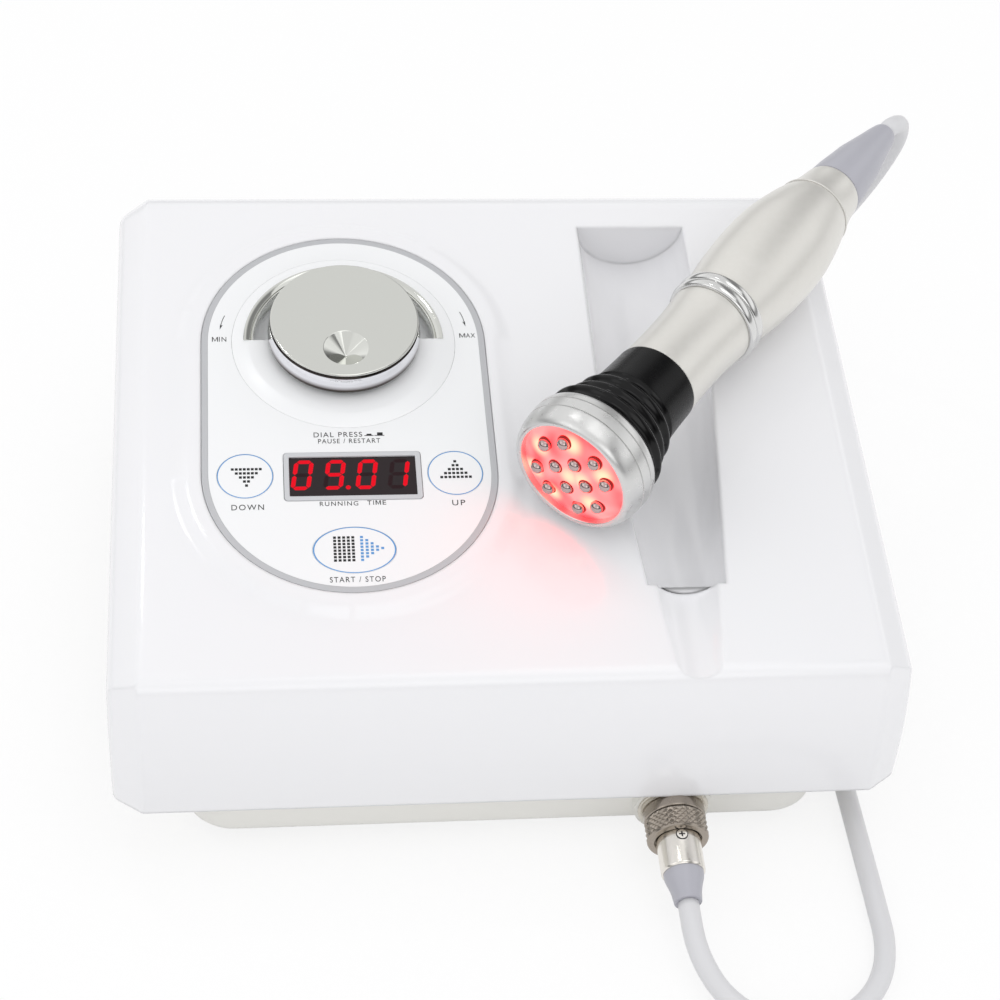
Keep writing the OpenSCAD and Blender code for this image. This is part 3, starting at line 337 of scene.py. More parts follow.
def piece(name, bm, material, body, place=None, stands_for=(), sharp=32, weld=True):
    """Turns a bmesh in millimetres into a piece in its place, riding on a body."""
    if weld:
        bmesh.ops.remove_doubles(bm, verts=bm.verts, dist=1e-4)
        bmesh.ops.recalc_face_normals(bm, faces=bm.faces)
    bm.transform(ROUND @ (place or Matrix.Identity(4)))
    me = bpy.data.meshes.new(name)
    bm.to_mesh(me)
    bm.free()
    shade(me, sharp)
    me.materials.append(material)
    o = bpy.data.objects.new(name, me)
    scene.collection.objects.link(o)
    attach(o, body)
    if stands_for:
        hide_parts(*([stands_for] if isinstance(stands_for, str) else stands_for))
    return o


def soften(bm, width, angle=28, segments=3):
    """Rounds every edge sharper than an angle."""
    edges = [e for e in bm.edges if len(e.link_faces) == 2 and e.calc_face_angle(0) > radians(angle)]
    bmesh.ops.bevel(bm, geom=edges, offset=width, offset_type="OFFSET", segments=segments, profile=0.5,
                    affect="EDGES", material=-1, clamp_overlap=True, loop_slide=True)


def turned(profile, steps=96, closed=True, angle=2 * pi):
    """Spins a profile of [radius, height] points about Z; a closed one off the axis becomes a ring."""
    bm = bmesh.new()
    verts = [bm.verts.new((r, 0, z)) for r, z in profile]
    edges = [bm.edges.new(p) for p in zip(verts, verts[1:])]
    if closed and (profile[0][0] > 1e-6 or profile[-1][0] > 1e-6):
        edges.append(bm.edges.new((verts[-1], verts[0])))
    whole = angle > 6.28
    bmesh.ops.spin(bm, geom=verts + edges, cent=(0, 0, 0), axis=(0, 0, 1), angle=angle, steps=steps,
                   use_merge=whole)
    bmesh.ops.remove_doubles(bm, verts=bm.verts, dist=1e-4)
    if not whole:
        bmesh.ops.holes_fill(bm, edges=bm.edges, sides=0)
    bmesh.ops.recalc_face_normals(bm, faces=bm.faces)
    return bm


def raised(bm, height):
    """Gives the flat faces of a bmesh a thickness."""
    top = bmesh.ops.extrude_face_region(bm, geom=bm.faces[:])
    bmesh.ops.translate(bm, verts=[g for g in top["geom"] if isinstance(g, bmesh.types.BMVert)],
                        vec=(0, 0, height))
    bmesh.ops.recalc_face_normals(bm, faces=bm.faces)
    return bm


def plate(outline, z0, z1, holes=()):
    """Flat plate between two heights from an outline, with holes of the same kind."""
    bm = bmesh.new()
    edges = []
    for loop in (outline, *holes):
        vs = [bm.verts.new((x, y, z0)) for x, y in loop]
        edges += [bm.edges.new(p) for p in zip(vs, vs[1:] + vs[:1])]
    bmesh.ops.triangle_fill(bm, use_beauty=True, use_dissolve=True, edges=edges)
    return raised(bm, z1 - z0)


def round_points(x, y, r, n=64, ry=None):
    """Circle, or ellipse with its own half height ry."""
    return [(x + r * cos(2 * pi * i / n), y + (ry or r) * sin(2 * pi * i / n)) for i in range(n)]


def stadium(r, straight=64.1, n=64):
    """Outline of the panel: a half circle at each end."""
    top = [(r * cos(pi * i / n), r * sin(pi * i / n)) for i in range(n + 1)]
    return top + [(-x, -y - straight) for x, y in top]


def rounded_box(x, y, w, d, r, n=6):
    """Rectangle with round corners."""
    out = []
    for k, (sx, sy) in enumerate(((1, 1), (-1, 1), (-1, -1), (1, -1))):
        for i in range(n + 1):
            a = pi / 2 * (k + i / n)
            out.append((x + sx * (w / 2 - r) + r * cos(a), y + sy * (d / 2 - r) + r * sin(a)))
    return out


def join(target, *others):
    """Adds the meshes of other bmeshes to a bmesh."""
    for other in others:
        me = bpy.data.meshes.new("part")
        other.to_mesh(me)
        other.free()
        target.from_mesh(me)
        bpy.data.meshes.remove(me)
    return target


def cad_copy(node):
    """A merged copy of a node's mesh, in millimetres."""
    bm = bmesh.new()
    bm.from_mesh(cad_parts[node].data)
    bm.transform(Matrix.Scale(1000, 4))
    bmesh.ops.remove_doubles(bm, verts=bm.verts, dist=1e-3)
    bmesh.ops.dissolve_limit(bm, angle_limit=radians(0.4), verts=bm.verts, edges=bm.edges,
                             use_dissolve_boundaries=False)
    return bm


# ---------------------------------------------------------------- the cable
CORD_R = 3.9
FRONT_ROUTE = [
    tuple(PLUG @ Vector((0, 0, 41.2))), tuple(PLUG @ Vector((0, 0, 47.0))), (61.5, -178, 7.8), (64, -187, 5),
    (69, -196, 2), (77, -204, 0.4), (88, -209.5, 0), (100, -210.5, 0), (112, -207, 0), (122, -199.5, 0),
    (129, -189, 0), (132.5, -176, 0), (133, -160, 0), (133, -132, 0), (133, -90, 0), (133, -45, 0),
    (133, 0, 0), (133, 45, 0), (133, 88, 0), (133, 112, 0), (130, 123, 0), (122, 130, 0), (110, 132.6, 0),
    (90, 132.7, 0), (65, 132.7, 0), (40, 132.7, 0)]
REAR_ROUTE = [
    (40, 245.3, 0), (58, 244, 0), (76, 239, 0), (93, 231, 0), (110, 221, 1), (126, 209, 5), (141, 197, 15),
    (154, 186, 31), (166, 176, 52), (176, 168, 76), (184, 161, 100), (189, 155, 122), (187, 147.5, 137)]
BOOT_TIP = 243.3
tip = HAND @ Vector((0, 0, BOOT_TIP))
tip_heading = (HAND.to_3x3() @ Vector((0, 0, 1))).normalized()
COIL_AT, COIL_TURNS = Vector((40, 189, 0)), 2.5


def coil_points(steps=20):
    """The coil's turns: in along the outside, round twice, over the top and out again."""
    out = []
    # Turns so far, radius, height
    keys = [(0.0, 56.3, 0), (0.5, 48, 0), (1.15, 48, 0), (1.5, 40, 0), (1.9, 40, 0), (2.15, 44, 7.4),
            (2.5, 56.3, 0)]
    n = int(steps * COIL_TURNS)
    for i in range(1, n):
        t = i / steps
        (t0, r0, z0), (t1, r1, z1) = next((a, b) for a, b in zip(keys, keys[1:]) if a[0] <= t <= b[0])
        k = (t - t0) / (t1 - t0)
        k = k * k * (3 - 2 * k)
        a = radians(270) - 2 * pi * t
        r = r0 + (r1 - r0) * k
        out.append(COIL_AT + Vector((r * cos(a), r * sin(a), z0 + (z1 - z0) * k)))
    return out


def smooth_line(points, step=3.0, count=None):
    """Catmull-Rom curve through points, in even steps or in a count of steps between two points."""
    p = [Vector(q) for q in points]
    p = [2 * p[0] - p[1]] + p + [2 * p[-1] - p[-2]]
    fine = []
    for a, b, c, d in zip(p, p[1:], p[2:], p[3:]):
        n = count or max(2, int((c - b).length / step))
        for i in range(n):
            u = i / n
            fine.append(0.5 * (2 * b + (c - a) * u + (2 * a - 5 * b + 4 * c - d) * u * u
                               + (3 * b - a - 3 * c + d) * u ** 3))
    return fine + [p[-2]]


def tube(line, r, sides=16):
    """Round tube along a line, made of rings that turn as little as they can, with closed ends."""
    bm = bmesh.new()
    across, last = None, None
    for i, p in enumerate(line):
        ahead = (line[min(i + 1, len(line) - 1)] - line[max(i - 1, 0)]).normalized()
        across = (ahead.orthogonal() if across is None else across - ahead * across.dot(ahead)).normalized()
        other = ahead.cross(across)
        ring = [bm.verts.new(p + r * (cos(2 * pi * k / sides) * across + sin(2 * pi * k / sides) * other))
                for k in range(sides)]
        edges = [bm.edges.new((ring[k], ring[(k + 1) % sides])) for k in range(sides)]
        if last is None:
            bm.faces.new(reversed(ring))
        else:
            bmesh.ops.bridge_loops(bm, edges=last + edges)
        last = edges
    bm.faces.new(ring)
    bmesh.ops.recalc_face_normals(bm, faces=bm.faces)
    return bm


REAR_FULL = REAR_ROUTE + [tuple(tip + 6 * tip_heading), tuple(tip)]
cord_line = smooth_line([*reversed(REAR_FULL), *reversed(coil_points()), *reversed(FRONT_ROUTE)])
bm = tube(cord_line, CORD_R)
bm.transform(ROUND)
cord_mesh = bpy.data.meshes.new("handpiece_cable")
bm.to_mesh(cord_mesh)
bm.free()
cord_mesh.shade_smooth()
cord_mesh.materials.append(jacket)
cord = bpy.data.objects.new("handpiece_cable", cord_mesh)
scene.collection.objects.link(cord)
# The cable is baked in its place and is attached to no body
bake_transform(cord)
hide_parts("cord_front", "cord_rear", "cord_coil")

# Tie round the coil's two lower turns
bm = plate([(-10.6, -4), (10.6, -4), (10.6, 4.6), (7, 5.4), (-7, 5.4), (-10.6, 4.6)], -6, 6,
           holes=[[(-9.4, -3.6), (9.4, -3.6), (9.4, 4.1), (6.6, 4.6), (-6.6, 4.6), (-9.4, 4.1)]])
soften(bm, 0.25, segments=2)
tie = piece("coil_tie", bm, hook_loop, "console",
            Matrix.Translation(COIL_AT + Vector((0, 44, 0))) @ Matrix.Rotation(radians(90), 4, "Z")
            @ Matrix.Rotation(radians(90), 4, "X"), "cord_tie", weld=False)


# ---------------------------------------------------------------- housing
# The edges of the cradle and of the cable's channel, right of RIM_FROM_X, are rounded at the deck
RIM_FROM_X = 80
bm = cad_copy("top_shell")
flat = DECK.inverted()
rims = []
for e in bm.edges:
    ends = [flat @ v.co for v in e.verts]
    if (len(e.link_faces) == 2 and all(abs(p.z) < 0.02 and p.x > RIM_FROM_X for p in ends)
            and e.calc_face_angle(0) > radians(25)):
        rims.append(e)
bmesh.ops.bevel(bm, geom=rims, offset=1.3, offset_type="OFFSET", segments=4, profile=0.5, affect="EDGES",
                material=-1, clamp_overlap=True, loop_slide=True)
piece("top_housing", bm, abs_white, "console", None, "top_shell", sharp=27, weld=False)

bm = cad_copy("base_tray")
piece("base_moulding", bm, abs_grey, "console", None, "base_tray", sharp=30, weld=False)


# ---------------------------------------------------------------- control panel
INK = 0.03


def patch(points, z=FILM_Z):
    """One flat face through points of the panel."""
    bm = bmesh.new()
    bm.faces.new([bm.verts.new((x, y, z)) for x, y in points])
    return bm


def patches(outlines, z=FILM_Z, height=INK):
    """Flat faces through several outlines, as thick as ink."""
    return raised(join(bmesh.new(), *[patch(o, z) for o in outlines]), height)


def squares(places, w, h):
    """Printed squares of the dot pictures."""
    corners = [(-w / 2, -h / 2), (w / 2, -h / 2), (w / 2, h / 2), (-w / 2, h / 2)]
    return patches([[(x + dx, y + dy) for dx, dy in corners] for x, y in places])


def words(text, x, y, width, height, spacing=1.2):
    """Flat capitals that fill a width and a height round x, y."""
    curve = bpy.data.curves.new("words", "FONT")
    curve.body, curve.space_character = text, spacing
    o = bpy.data.objects.new("words", curve)
    scene.collection.objects.link(o)
    me = bpy.data.meshes.new_from_object(o.evaluated_get(bpy.context.evaluated_depsgraph_get()))
    bm = bmesh.new()
    bm.from_mesh(me)
    bpy.data.objects.remove(o)
    bpy.data.curves.remove(curve)
    bpy.data.meshes.remove(me)
    xs, ys = [v.co.x for v in bm.verts], [v.co.y for v in bm.verts]
    middle_x, middle_y = (max(xs) + min(xs)) / 2, (max(ys) + min(ys)) / 2
    sx, sy = width / (max(xs) - min(xs)), height / (max(ys) - min(ys))
    for v in bm.verts:
        v.co = Vector((x + (v.co.x - middle_x) * sx, y + (v.co.y - middle_y) * sy, FILM_Z))
    return bm


KEY_X, KEY_Y, START_Y, KEY_R, START_RX = 39.0, -65.7, -100.3, 10.5, 15.3
WINDOW_X, WINDOW_Y, WINDOW_W, WINDOW_D = 0.8, -66.4, 47.1, 18.4
PANEL_R, BAND = 55.0, 2.5
SURROUND_R, POCKET_IN, POCKET_OUT, POCKET_Z = 43.3, 27.0, 38.6, -5.3
# The film lies this much lower than its border and the rings
STEP = 0.02

bm = plate(stadium(PANEL_R), BED_Z, FILM_Z, holes=[stadium(PANEL_R - BAND)])
soften(bm, 0.2, segments=2)
piece("panel_border", bm, silver_ink, "console", DECK, "control_overlay", weld=False)
holes = [round_points(0, 0, SURROUND_R + 0.1, 96),
         rounded_box(WINDOW_X, WINDOW_Y, WINDOW_W + 4.4, WINDOW_D + 4.4, 1.6),
         round_points(-KEY_X, KEY_Y, KEY_R), round_points(KEY_X, KEY_Y, KEY_R),
         round_points(0, START_Y, START_RX, 96, KEY_R)]
bm = plate(stadium(PANEL_R - BAND), BED_Z, FILM_Z - STEP, holes=holes)
piece("panel_film", bm, film, "console", DECK, "control_overlay", weld=False)

# Dished ring round the dial: its back half holds the finger pocket, closed by a wall at each end
SLOPE = [(36.5, SURROUND_Z), (37.5, 3.62), (39.5, 3.35), (41.8, 2.9), (43.0, 2.62), (43.25, 2.54),
         (SURROUND_R, FILM_Z - STEP)]
HOLE_R, UNDER_Z, CUP = 12, BED_Z - 1, 1.0
bm = turned([(HOLE_R, UNDER_Z), (HOLE_R, SURROUND_Z)] + SLOPE + [(SURROUND_R, UNDER_Z)], steps=72, angle=pi)
bmesh.ops.rotate(bm, verts=bm.verts, cent=(0, 0, 0), matrix=Matrix.Rotation(pi, 3, "Z"))
inside = [(HOLE_R, UNDER_Z), (HOLE_R, SURROUND_Z), (POCKET_IN, SURROUND_Z), (POCKET_IN, POCKET_Z),
          (POCKET_OUT, POCKET_Z), (POCKET_OUT, 3.48)]
outside = [(SURROUND_R, UNDER_Z), (POCKET_OUT + CUP, UNDER_Z), (POCKET_OUT + CUP, POCKET_Z - CUP),
           (POCKET_IN - CUP, POCKET_Z - CUP), (POCKET_IN - CUP, UNDER_Z)]
join(bm, turned(inside + SLOPE[2:] + outside, steps=72, angle=pi))
for side in (-1, 1):
    wall = bmesh.ops.create_cube(bm, size=1)["verts"]
    bmesh.ops.scale(bm, verts=wall, vec=(POCKET_OUT - POCKET_IN + 2 * CUP, CUP, UNDER_Z - POCKET_Z + CUP))
    bmesh.ops.translate(bm, verts=wall, vec=(side * (POCKET_IN + POCKET_OUT) / 2, -CUP / 2,
                                             (UNDER_Z + POCKET_Z - CUP) / 2))
piece("dial_surround_ring", bm, film, "console", DECK, "dial_surround", sharp=30, weld=False)

# Bright liner of the finger pocket: a sloping top band, a groove along its inner lip, and a wall to the floor
bm = turned([(38.55, 3.5), (38.75, 3.95), (38.5, 4.2), (38.1, 4.22), (37.2, 4.02), (36.3, 3.68), (36.05, 3.5),
             (35.95, 3.0), (35.75, 2.9), (35.6, 3.1), (35.5, 3.42), (35.2, 3.45), (35.0, 3.2), (34.9, 2.7),
             (34.9, 0.6), (35.3, -0.2), (36.6, -1.0), (37.0, -1.6), (37.0, -5.2), (38.5, -5.2)],
            steps=72, angle=pi)
piece("pocket_trim", bm, chrome, "console", DECK, "pocket_liner", sharp=40)

bm = plate(rounded_box(WINDOW_X, WINDOW_Y, WINDOW_W + 4, WINDOW_D + 4, 1.6), BED_Z, FILM_Z + 0.3,
           holes=[rounded_box(WINDOW_X, WINDOW_Y, WINDOW_W, WINDOW_D, 0.4)])
soften(bm, 0.35, angle=50, segments=3)
piece("display_frame", bm, bezel_grey, "console", DECK, "display_bezel", weld=False)

# Four slanted seven-segment digits behind the filter
DIGIT_W, DIGIT_H, STROKE, SLANT = 7.3, 13.9, 1.65, tan(radians(8))
HALF_W, HALF_H = (DIGIT_W - STROKE) / 2, (DIGIT_H - STROKE) / 2


def bar(x, y, length, upright):
    """One segment: a bar with pointed ends."""
    a, t = length / 2, STROKE / 2
    points = [(-a, 0), (-a + t, -t), (a - t, -t), (a, 0), (a - t, t), (-a + t, t)]
    if upright:
        points = [(-q, p) for p, q in points]
    return [(x + p, y + q) for p, q in points]


BARS = {"a": (0, HALF_H, False), "b": (HALF_W, HALF_H / 2, True), "c": (HALF_W, -HALF_H / 2, True),
        "d": (0, -HALF_H, False), "e": (-HALF_W, -HALF_H / 2, True), "f": (-HALF_W, HALF_H / 2, True),
        "g": (0, 0, False)}
# The middle of each digit, with its lit bars
SHOWN = {-17.9: "abcdef", -5.95: "abcdfg", 6.0: "abcdef", 17.9: "bc"}
DIGIT_Y, DIGIT_Z = -65.4, 2.1
bright, dark = [], []
for middle, on in SHOWN.items():
    for key, (x, y, upright) in BARS.items():
        outline = bar(x, y, (HALF_H if upright else 2 * HALF_W) - 0.35, upright)
        outline = [(middle + p + q * SLANT, DIGIT_Y + q) for p, q in outline]
        (bright if key in on else dark).append(outline)
bright.append(round_points(-1.1, DIGIT_Y - HALF_H + 0.1, 0.95, 16))
piece("lit_digits", patches(bright, DIGIT_Z, 0.02), lit, "console", DECK, (), weld=False)
piece("unlit_digits", patches(dark, DIGIT_Z, 0.01), unlit, "console", DECK, (), weld=False)


# Printed words and arrows
def arrow(x0, y0, x1, y1):
    """Thin curved stroke with a narrow head, from the tail to the tip."""
    along = Vector((x1 - x0, y1 - y0))
    ahead, aside = along.normalized(), Vector((along.y, -along.x)).normalized()
    bow = [(0.0, 0.0), (0.25, 0.2), (0.5, 0.25), (0.72, 0.15)]
    line = [Vector((x0, y0)) + along * k + aside * d * (1 if x0 < 0 else -1) for k, d in bow]
    stroke = [tuple(p + aside * 0.13) for p in line] + [tuple(p - aside * 0.13) for p in reversed(line)]
    neck = Vector((x1, y1)) - ahead * 2.6
    head = [tuple(neck + aside * 0.52), (x1, y1), tuple(neck - aside * 0.52), tuple(neck + ahead * 0.5)]
    return [stroke, head]


def letter_m(x0, x1, y, height, stroke=0.34):
    """Capital M whose middle reaches the foot of the line."""
    y0, y1, middle = y - height / 2, y + height / 2, (x0 + x1) / 2
    half = [(x0, y0), (x0, y1), (x0 + 1.25 * stroke, y1), (middle, y0 + 1.6 * stroke)]
    inner = [(middle, y0), (x0 + stroke, y1 - 1.5 * stroke), (x0 + stroke, y0)]
    other = [(2 * middle - x, v) for x, v in reversed(half[:3])]
    other += [(2 * middle - x, v) for x, v in reversed(inner[1:])]
    return patch(half + other + inner)


legends = [letter_m(-50.85, -48.55, 1.65, 2.35), words("IN", -46.75, 1.65, 2.8, 2.35),
           letter_m(45.3, 47.65, 2.45, 2.2), words("AX", 49.7, 2.45, 3.6, 2.2),
           words("DIAL PRESS", -4.05, -46.6, 18.2, 2.35), words("PAUSE / RESTART", 0.1, -49.7, 23.3, 2.15),
           words("RUNNING", -4.85, -79.2, 14.1, 2.0, 1.25), words("TI", 6.77, -79.0, 2.45, 2.0, 1.25),
           letter_m(8.6, 10.55, -79.0, 2.0), words("E", 11.84, -79.0, 1.28, 2.0),
           words("DOWN", -38.2, -80.2, 11.8, 2.5, 1.25), words("UP", 39.3, -79.7, 4.8, 2.5, 1.25),
           words("START / STOP", 0.6, -113.4, 20.0, 2.35, 1.25)]
# The two small pictures of the pressed and the released dial
pressed = [(5.9, -47.4), (9.35, -47.4), (9.35, -47.1), (8.7, -47.1), (8.5, -46.4), (6.8, -46.4), (6.6, -47.1),
           (5.9, -47.1)]
released = [(9.7, -47.4), (13.4, -47.4), (13.4, -47.1), (12.8, -47.1), (12.8, -45.8), (10.7, -45.8),
            (10.7, -47.1), (9.7, -47.1)]
marks = arrow(-45.9, 13.9, -47.85, 6.7) + arrow(46.3, 14.8, 48.1, 7.3) + [pressed, released]
legends += [patch(m) for m in marks]
piece("panel_legends", raised(join(bmesh.new(), *legends), INK), black_ink, "console", DECK, (),
      weld=False)


# Keys: white caps with a blue rim line and a picture made of squares
CAP_R, CAP_Z, LINE_IN, LINE_OUT = 10.38, 2.49, 9.96, 10.33


def key_cap(name, body, x, y, wide=1.0):
    """Cap with its flange and stem, and the line round its rim; wide stretches it across the panel."""
    place = DECK @ Matrix.Translation((x, y, 0))
    cap = turned([(0, CAP_Z), (LINE_OUT, CAP_Z), (CAP_R, 2.44), (CAP_R, 1.4), (11.35, 1.4), (11.35, 0.5),
                  (2.2, 0.5), (2.2, -4.1), (0, -4.1)])
    line = turned([(LINE_IN, CAP_Z), (LINE_OUT, CAP_Z), (LINE_OUT, CAP_Z + INK), (LINE_IN, CAP_Z + INK)])
    for bm in (cap, line):
        bmesh.ops.scale(bm, verts=bm.verts, vec=(wide, 1, 1))
    piece(name + "_cap", cap, film, body, place, name)
    piece(name + "_rim_line", line, blue_ink, body, place, ())


key_cap("down_key", "down_button", -KEY_X, KEY_Y)
key_cap("up_key", "up_button", KEY_X, KEY_Y)
key_cap("start_stop_key", "start_stop_button", 0, START_Y, (START_RX - KEY_R + CAP_R) / CAP_R)
# Squares in each row of a triangle, from its base to its point
ROWS = (8, 6, 4, 2, 1)


def triangle(x, y, pitch, row):
    """Places of a triangle's squares; x, y is the middle of its base."""
    return [(x + (i - (n - 1) / 2) * pitch, y + k * row) for k, n in enumerate(ROWS) for i in range(n)]


def picture(name, places, height, ink, body):
    """The squares of a key's picture, printed on its cap."""
    piece(name, squares(places, 1.08, height), ink, body, DECK, (), weld=False)


picture("down_key_picture", triangle(-38.5, -62.5, 1.47, -1.9), 1.1, black_ink, "down_button")
picture("up_key_picture", triangle(39.15, -67.65, 1.53, 1.85), 1.1, black_ink, "up_button")
block = [(-7.08 + 1.655 * i, -94.7 - 1.46 * k) for i in range(5) for k in range(8)]
picture("stop_picture", block, 1.06, black_ink, "start_stop_button")
play = [(2.7 + 1.87 * k, -99.75 + (i - (n - 1) / 2) * 1.46) for k, n in enumerate(ROWS) for i in range(n)]
picture("start_picture", play, 1.02, blue_ink, "start_stop_button")


# ---------------------------------------------------------------- dial
DIMPLE = Vector((0, -14.6, 0))
# Top plate with its stem; the dimple is a cone set into it
bm = turned([(0, 11.2), (3.1, 11.2), (3.1, 7.0), (7.0, 7.0), (7.0, 9.8), (25.0, 9.8), (25.0, 14.32),
             (28.3, 14.32), (28.45, 14.6), (28.55, 14.8), (28.55, 15.05), (28.45, 15.3), (28.3, 15.43),
             (28.1, 15.48), (27.9, 15.5)], steps=144, closed=False)
hollow = turned([(8.75, 15.5), (8.6, 15.46), (8.42, 15.36), (5.6, 13.68), (2.8, 12.02), (0.7, 10.78),
                 (0.3, 10.62), (0, 10.58)], closed=False)
bmesh.ops.translate(hollow, verts=hollow.verts, vec=DIMPLE)
join(bm, hollow)
bmesh.ops.triangle_fill(bm, use_beauty=True, use_dissolve=False,
                        edges=[e for e in bm.edges if e.is_boundary])
bmesh.ops.recalc_face_normals(bm, faces=bm.faces)
piece("dial_cap", bm, chrome, "dial", DECK, "dial_knob", sharp=50)
bm = turned([(24.9, DIAL_Z), (27.0, DIAL_Z), (27.7, 5.08), (28.4, 5.35), (28.95, 5.85), (29.3, 6.5),
             (29.45, 7.2), (29.5, 8.0), (29.42, 9.2), (29.2, 10.8), (28.95, 12.3), (28.75, 13.3),
             (28.6, 13.7), (28.25, 13.85), (28.15, 14.05), (28.25, 14.3), (24.9, 14.3)], steps=144)
piece("dial_band", bm, side_chrome_painted_shade, "dial", DECK, "dial_knob", sharp=50)


# ---------------------------------------------------------------- front connector
bm = turned([(7.5, -15), (9.5, -15), (9.5, 0.02), (13.2, 0.02), (13.2, 0.7), (12.9, 1.0), (12.1, 1.0),
             (12.0, 1.2), (11.9, 1.8), (9.6, 1.8), (9.6, 11.6), (7.5, 11.6)])
piece("socket_collar", bm, pale_nickel, "console", PLUG, "socket_body")
# Smooth dark band of the socket behind the knurl
bm = turned([(9.65, 1.85), (11.2, 1.85), (11.5, 2.1), (11.55, 2.6), (11.55, 5.6), (11.4, 6.0), (11.1, 6.2),
             (9.65, 6.2)])
piece("socket_band", bm, nickel, "console", PLUG, "socket_body")

# Coupling ring with a diamond knurl: two sets of grooves cross on its rim
KNURL_N, KNURL_ROWS, KNURL_R, KNURL_Z0, KNURL_Z1, KNURL_DEEP = 30, 6, 11.6, 7.3, 13.7, 0.6
rim = [(KNURL_R, KNURL_Z0 + (KNURL_Z1 - KNURL_Z0) * i / 36) for i in range(37)]
bm = turned([(9.9, 6.5), (11.0, 6.5), (11.35, 6.8)] + rim + [(11.5, 14.2), (11.15, 14.8), (10.6, 15.0),
            (8.95, 15.0), (8.6, 14.6), (8.5, 12.8), (9.9, 12.8)], steps=KNURL_N * 8)
for v in bm.verts:
    r = v.co.xy.length
    if r > KNURL_R - 0.01:
        turn = atan2(v.co.y, v.co.x) / (2 * pi) * KNURL_N
        up = (v.co.z - KNURL_Z0) / (KNURL_Z1 - KNURL_Z0) * KNURL_ROWS
        groove = max(abs(((turn + side * up / 2) % 1.0) - 0.5) for side in (-1, 1)) * 2
        v.co.xy *= 1 - KNURL_DEEP * groove / r
piece("knurled_ring", bm, nickel, "plug_ring", PLUG, "coupling_ring", sharp=20)

bm = turned([(4.2, 11.9), (8.9, 11.9), (8.9, 12.6), (8.2, 12.7), (8.2, 28.1), (8.05, 28.6), (7.7, 29.0),
             (4.2, 29.0)])
piece("plug_shell", bm, bright_nickel, "console", PLUG, "plug_body")
SCREW_AT = PLUG @ Matrix.Translation((0, 0, 17.0)) @ Matrix.Rotation(radians(-90), 4, "X")
# Screw with a cross cut through its head, in which a dark disc of painted shade shows
SCREW_R, ARM, HALF_CUT = 1.9, 1.15, 0.28
quarter = [(HALF_CUT, HALF_CUT), (HALF_CUT, ARM), (-HALF_CUT, ARM)]
cross = []
for _ in range(4):
    cross += quarter
    quarter = [(-y, x) for x, y in quarter]
bm = join(plate(round_points(0, 0, SCREW_R, 40), 7.85, 8.45, holes=[cross]),
          turned([(0, 7.0), (SCREW_R, 7.0), (SCREW_R, 7.86), (0, 7.86)], 40))
piece("clamp_screw", bm, bright_nickel, "console", SCREW_AT, "plug_screw", weld=False)
# Black ring round the screw's head, and a dark disc under its cross cut as painted shade of the cut
bm = join(turned([(SCREW_R, 8.1), (2.25, 8.1), (2.25, 8.24), (SCREW_R, 8.24)], 40),
          turned([(0, 8.1), (1.6, 8.1), (1.6, 8.28), (0, 8.28)], 40))
piece("clamp_screw_seat_and_slot_shade", bm, black_abs, "console", SCREW_AT, ())
bm = turned([(0, 29.02), (7.4, 29.02), (7.4, 30.0), (7.15, 31.3), (6.6, 33.0), (6.0, 35.0), (5.55, 37.2),
             (5.3, 39.4), (5.15, 40.7), (4.85, 41.0), (0, 41.0)])
piece("plug_sleeve", bm, vinyl, "console", PLUG, "plug_clamp")


# ---------------------------------------------------------------- handpiece
def hand_piece(name, profile, material, node, sharp=32):
    """Turned piece of the handpiece; its profile's heights run from the rim of the lens to the cable."""
    piece(name, turned(profile, steps=128), material, "handpiece", HAND, node, sharp)


# Where the rings of the handpiece start. Each piece stands for the nodes whose place it takes: several of
# them start up to 9 mm nearer to the lens than the nodes do.
FOLDS_AT, SLEEVE_AT, GRIP_AT, BEADS_AT, REAR_AT, CAP_AT, BOOT_AT = 16.5, 40.1, 58.8, 98.5, 107.4, 179.6, 196.8
SEAM = 0.1

hand_piece("head_rim", [(21.6, 0.9), (21.75, 0.4), (22.1, 0.1), (22.7, 0.0), (23.4, 0.22), (24.3, 1.1),
                        (25.05, 2.4), (25.65, 4.4), (26.05, 6.6), (26.12, 7.4), (25.7, 7.6), (25.7, 7.9),
                        (26.15, 8.1), (26.3, 10.0), (26.4, 12.1), (25.95, 12.3), (25.95, 12.6), (26.38, 12.8),
                        (26.25, 14.6), (26.0, 15.6), (25.6, 16.15), (24.9, FOLDS_AT - SEAM),
                        (22.8, FOLDS_AT - SEAM), (22.8, 5.4), (21.6, 5.4)],
           head_silver, "head_ring", 60)
hand_piece("lens_cap", [(0, -0.2), (4, -0.15), (8, 0.1), (12, 0.45), (15, 0.85), (18.5, 1.6), (20.5, 2.3),
                        (21.5, 2.9), (21.5, 4.4), (0, 4.4)], acrylic, "head_lens")


# Twelve places: a grid of four by four without its corners, turned as it stands in the head
HALVES = (-1.5, -0.5, 0.5, 1.5)
PIN_PITCH, PIN_TURN = 9.4, radians(50.7)
PIN_GRID = [(k, r) for r in HALVES for k in HALVES if abs(r) + abs(k) < 2.5]


def at_pins(profile, outer_drop=0.0):
    """A turned part at the place of each pin; the outer eight lie deeper, as the lens is domed."""
    bm = bmesh.new()
    for k, r in PIN_GRID:
        one = turned(profile, 40)
        drop = outer_drop if abs(k * r) > 0.5 else 0.0
        bmesh.ops.translate(one, verts=one.verts, vec=(k * PIN_PITCH, r * PIN_PITCH, drop))
        join(bm, one)
    bmesh.ops.rotate(bm, verts=bm.verts, cent=(0, 0, 0), matrix=Matrix.Rotation(PIN_TURN, 3, "Z"))
    return bm


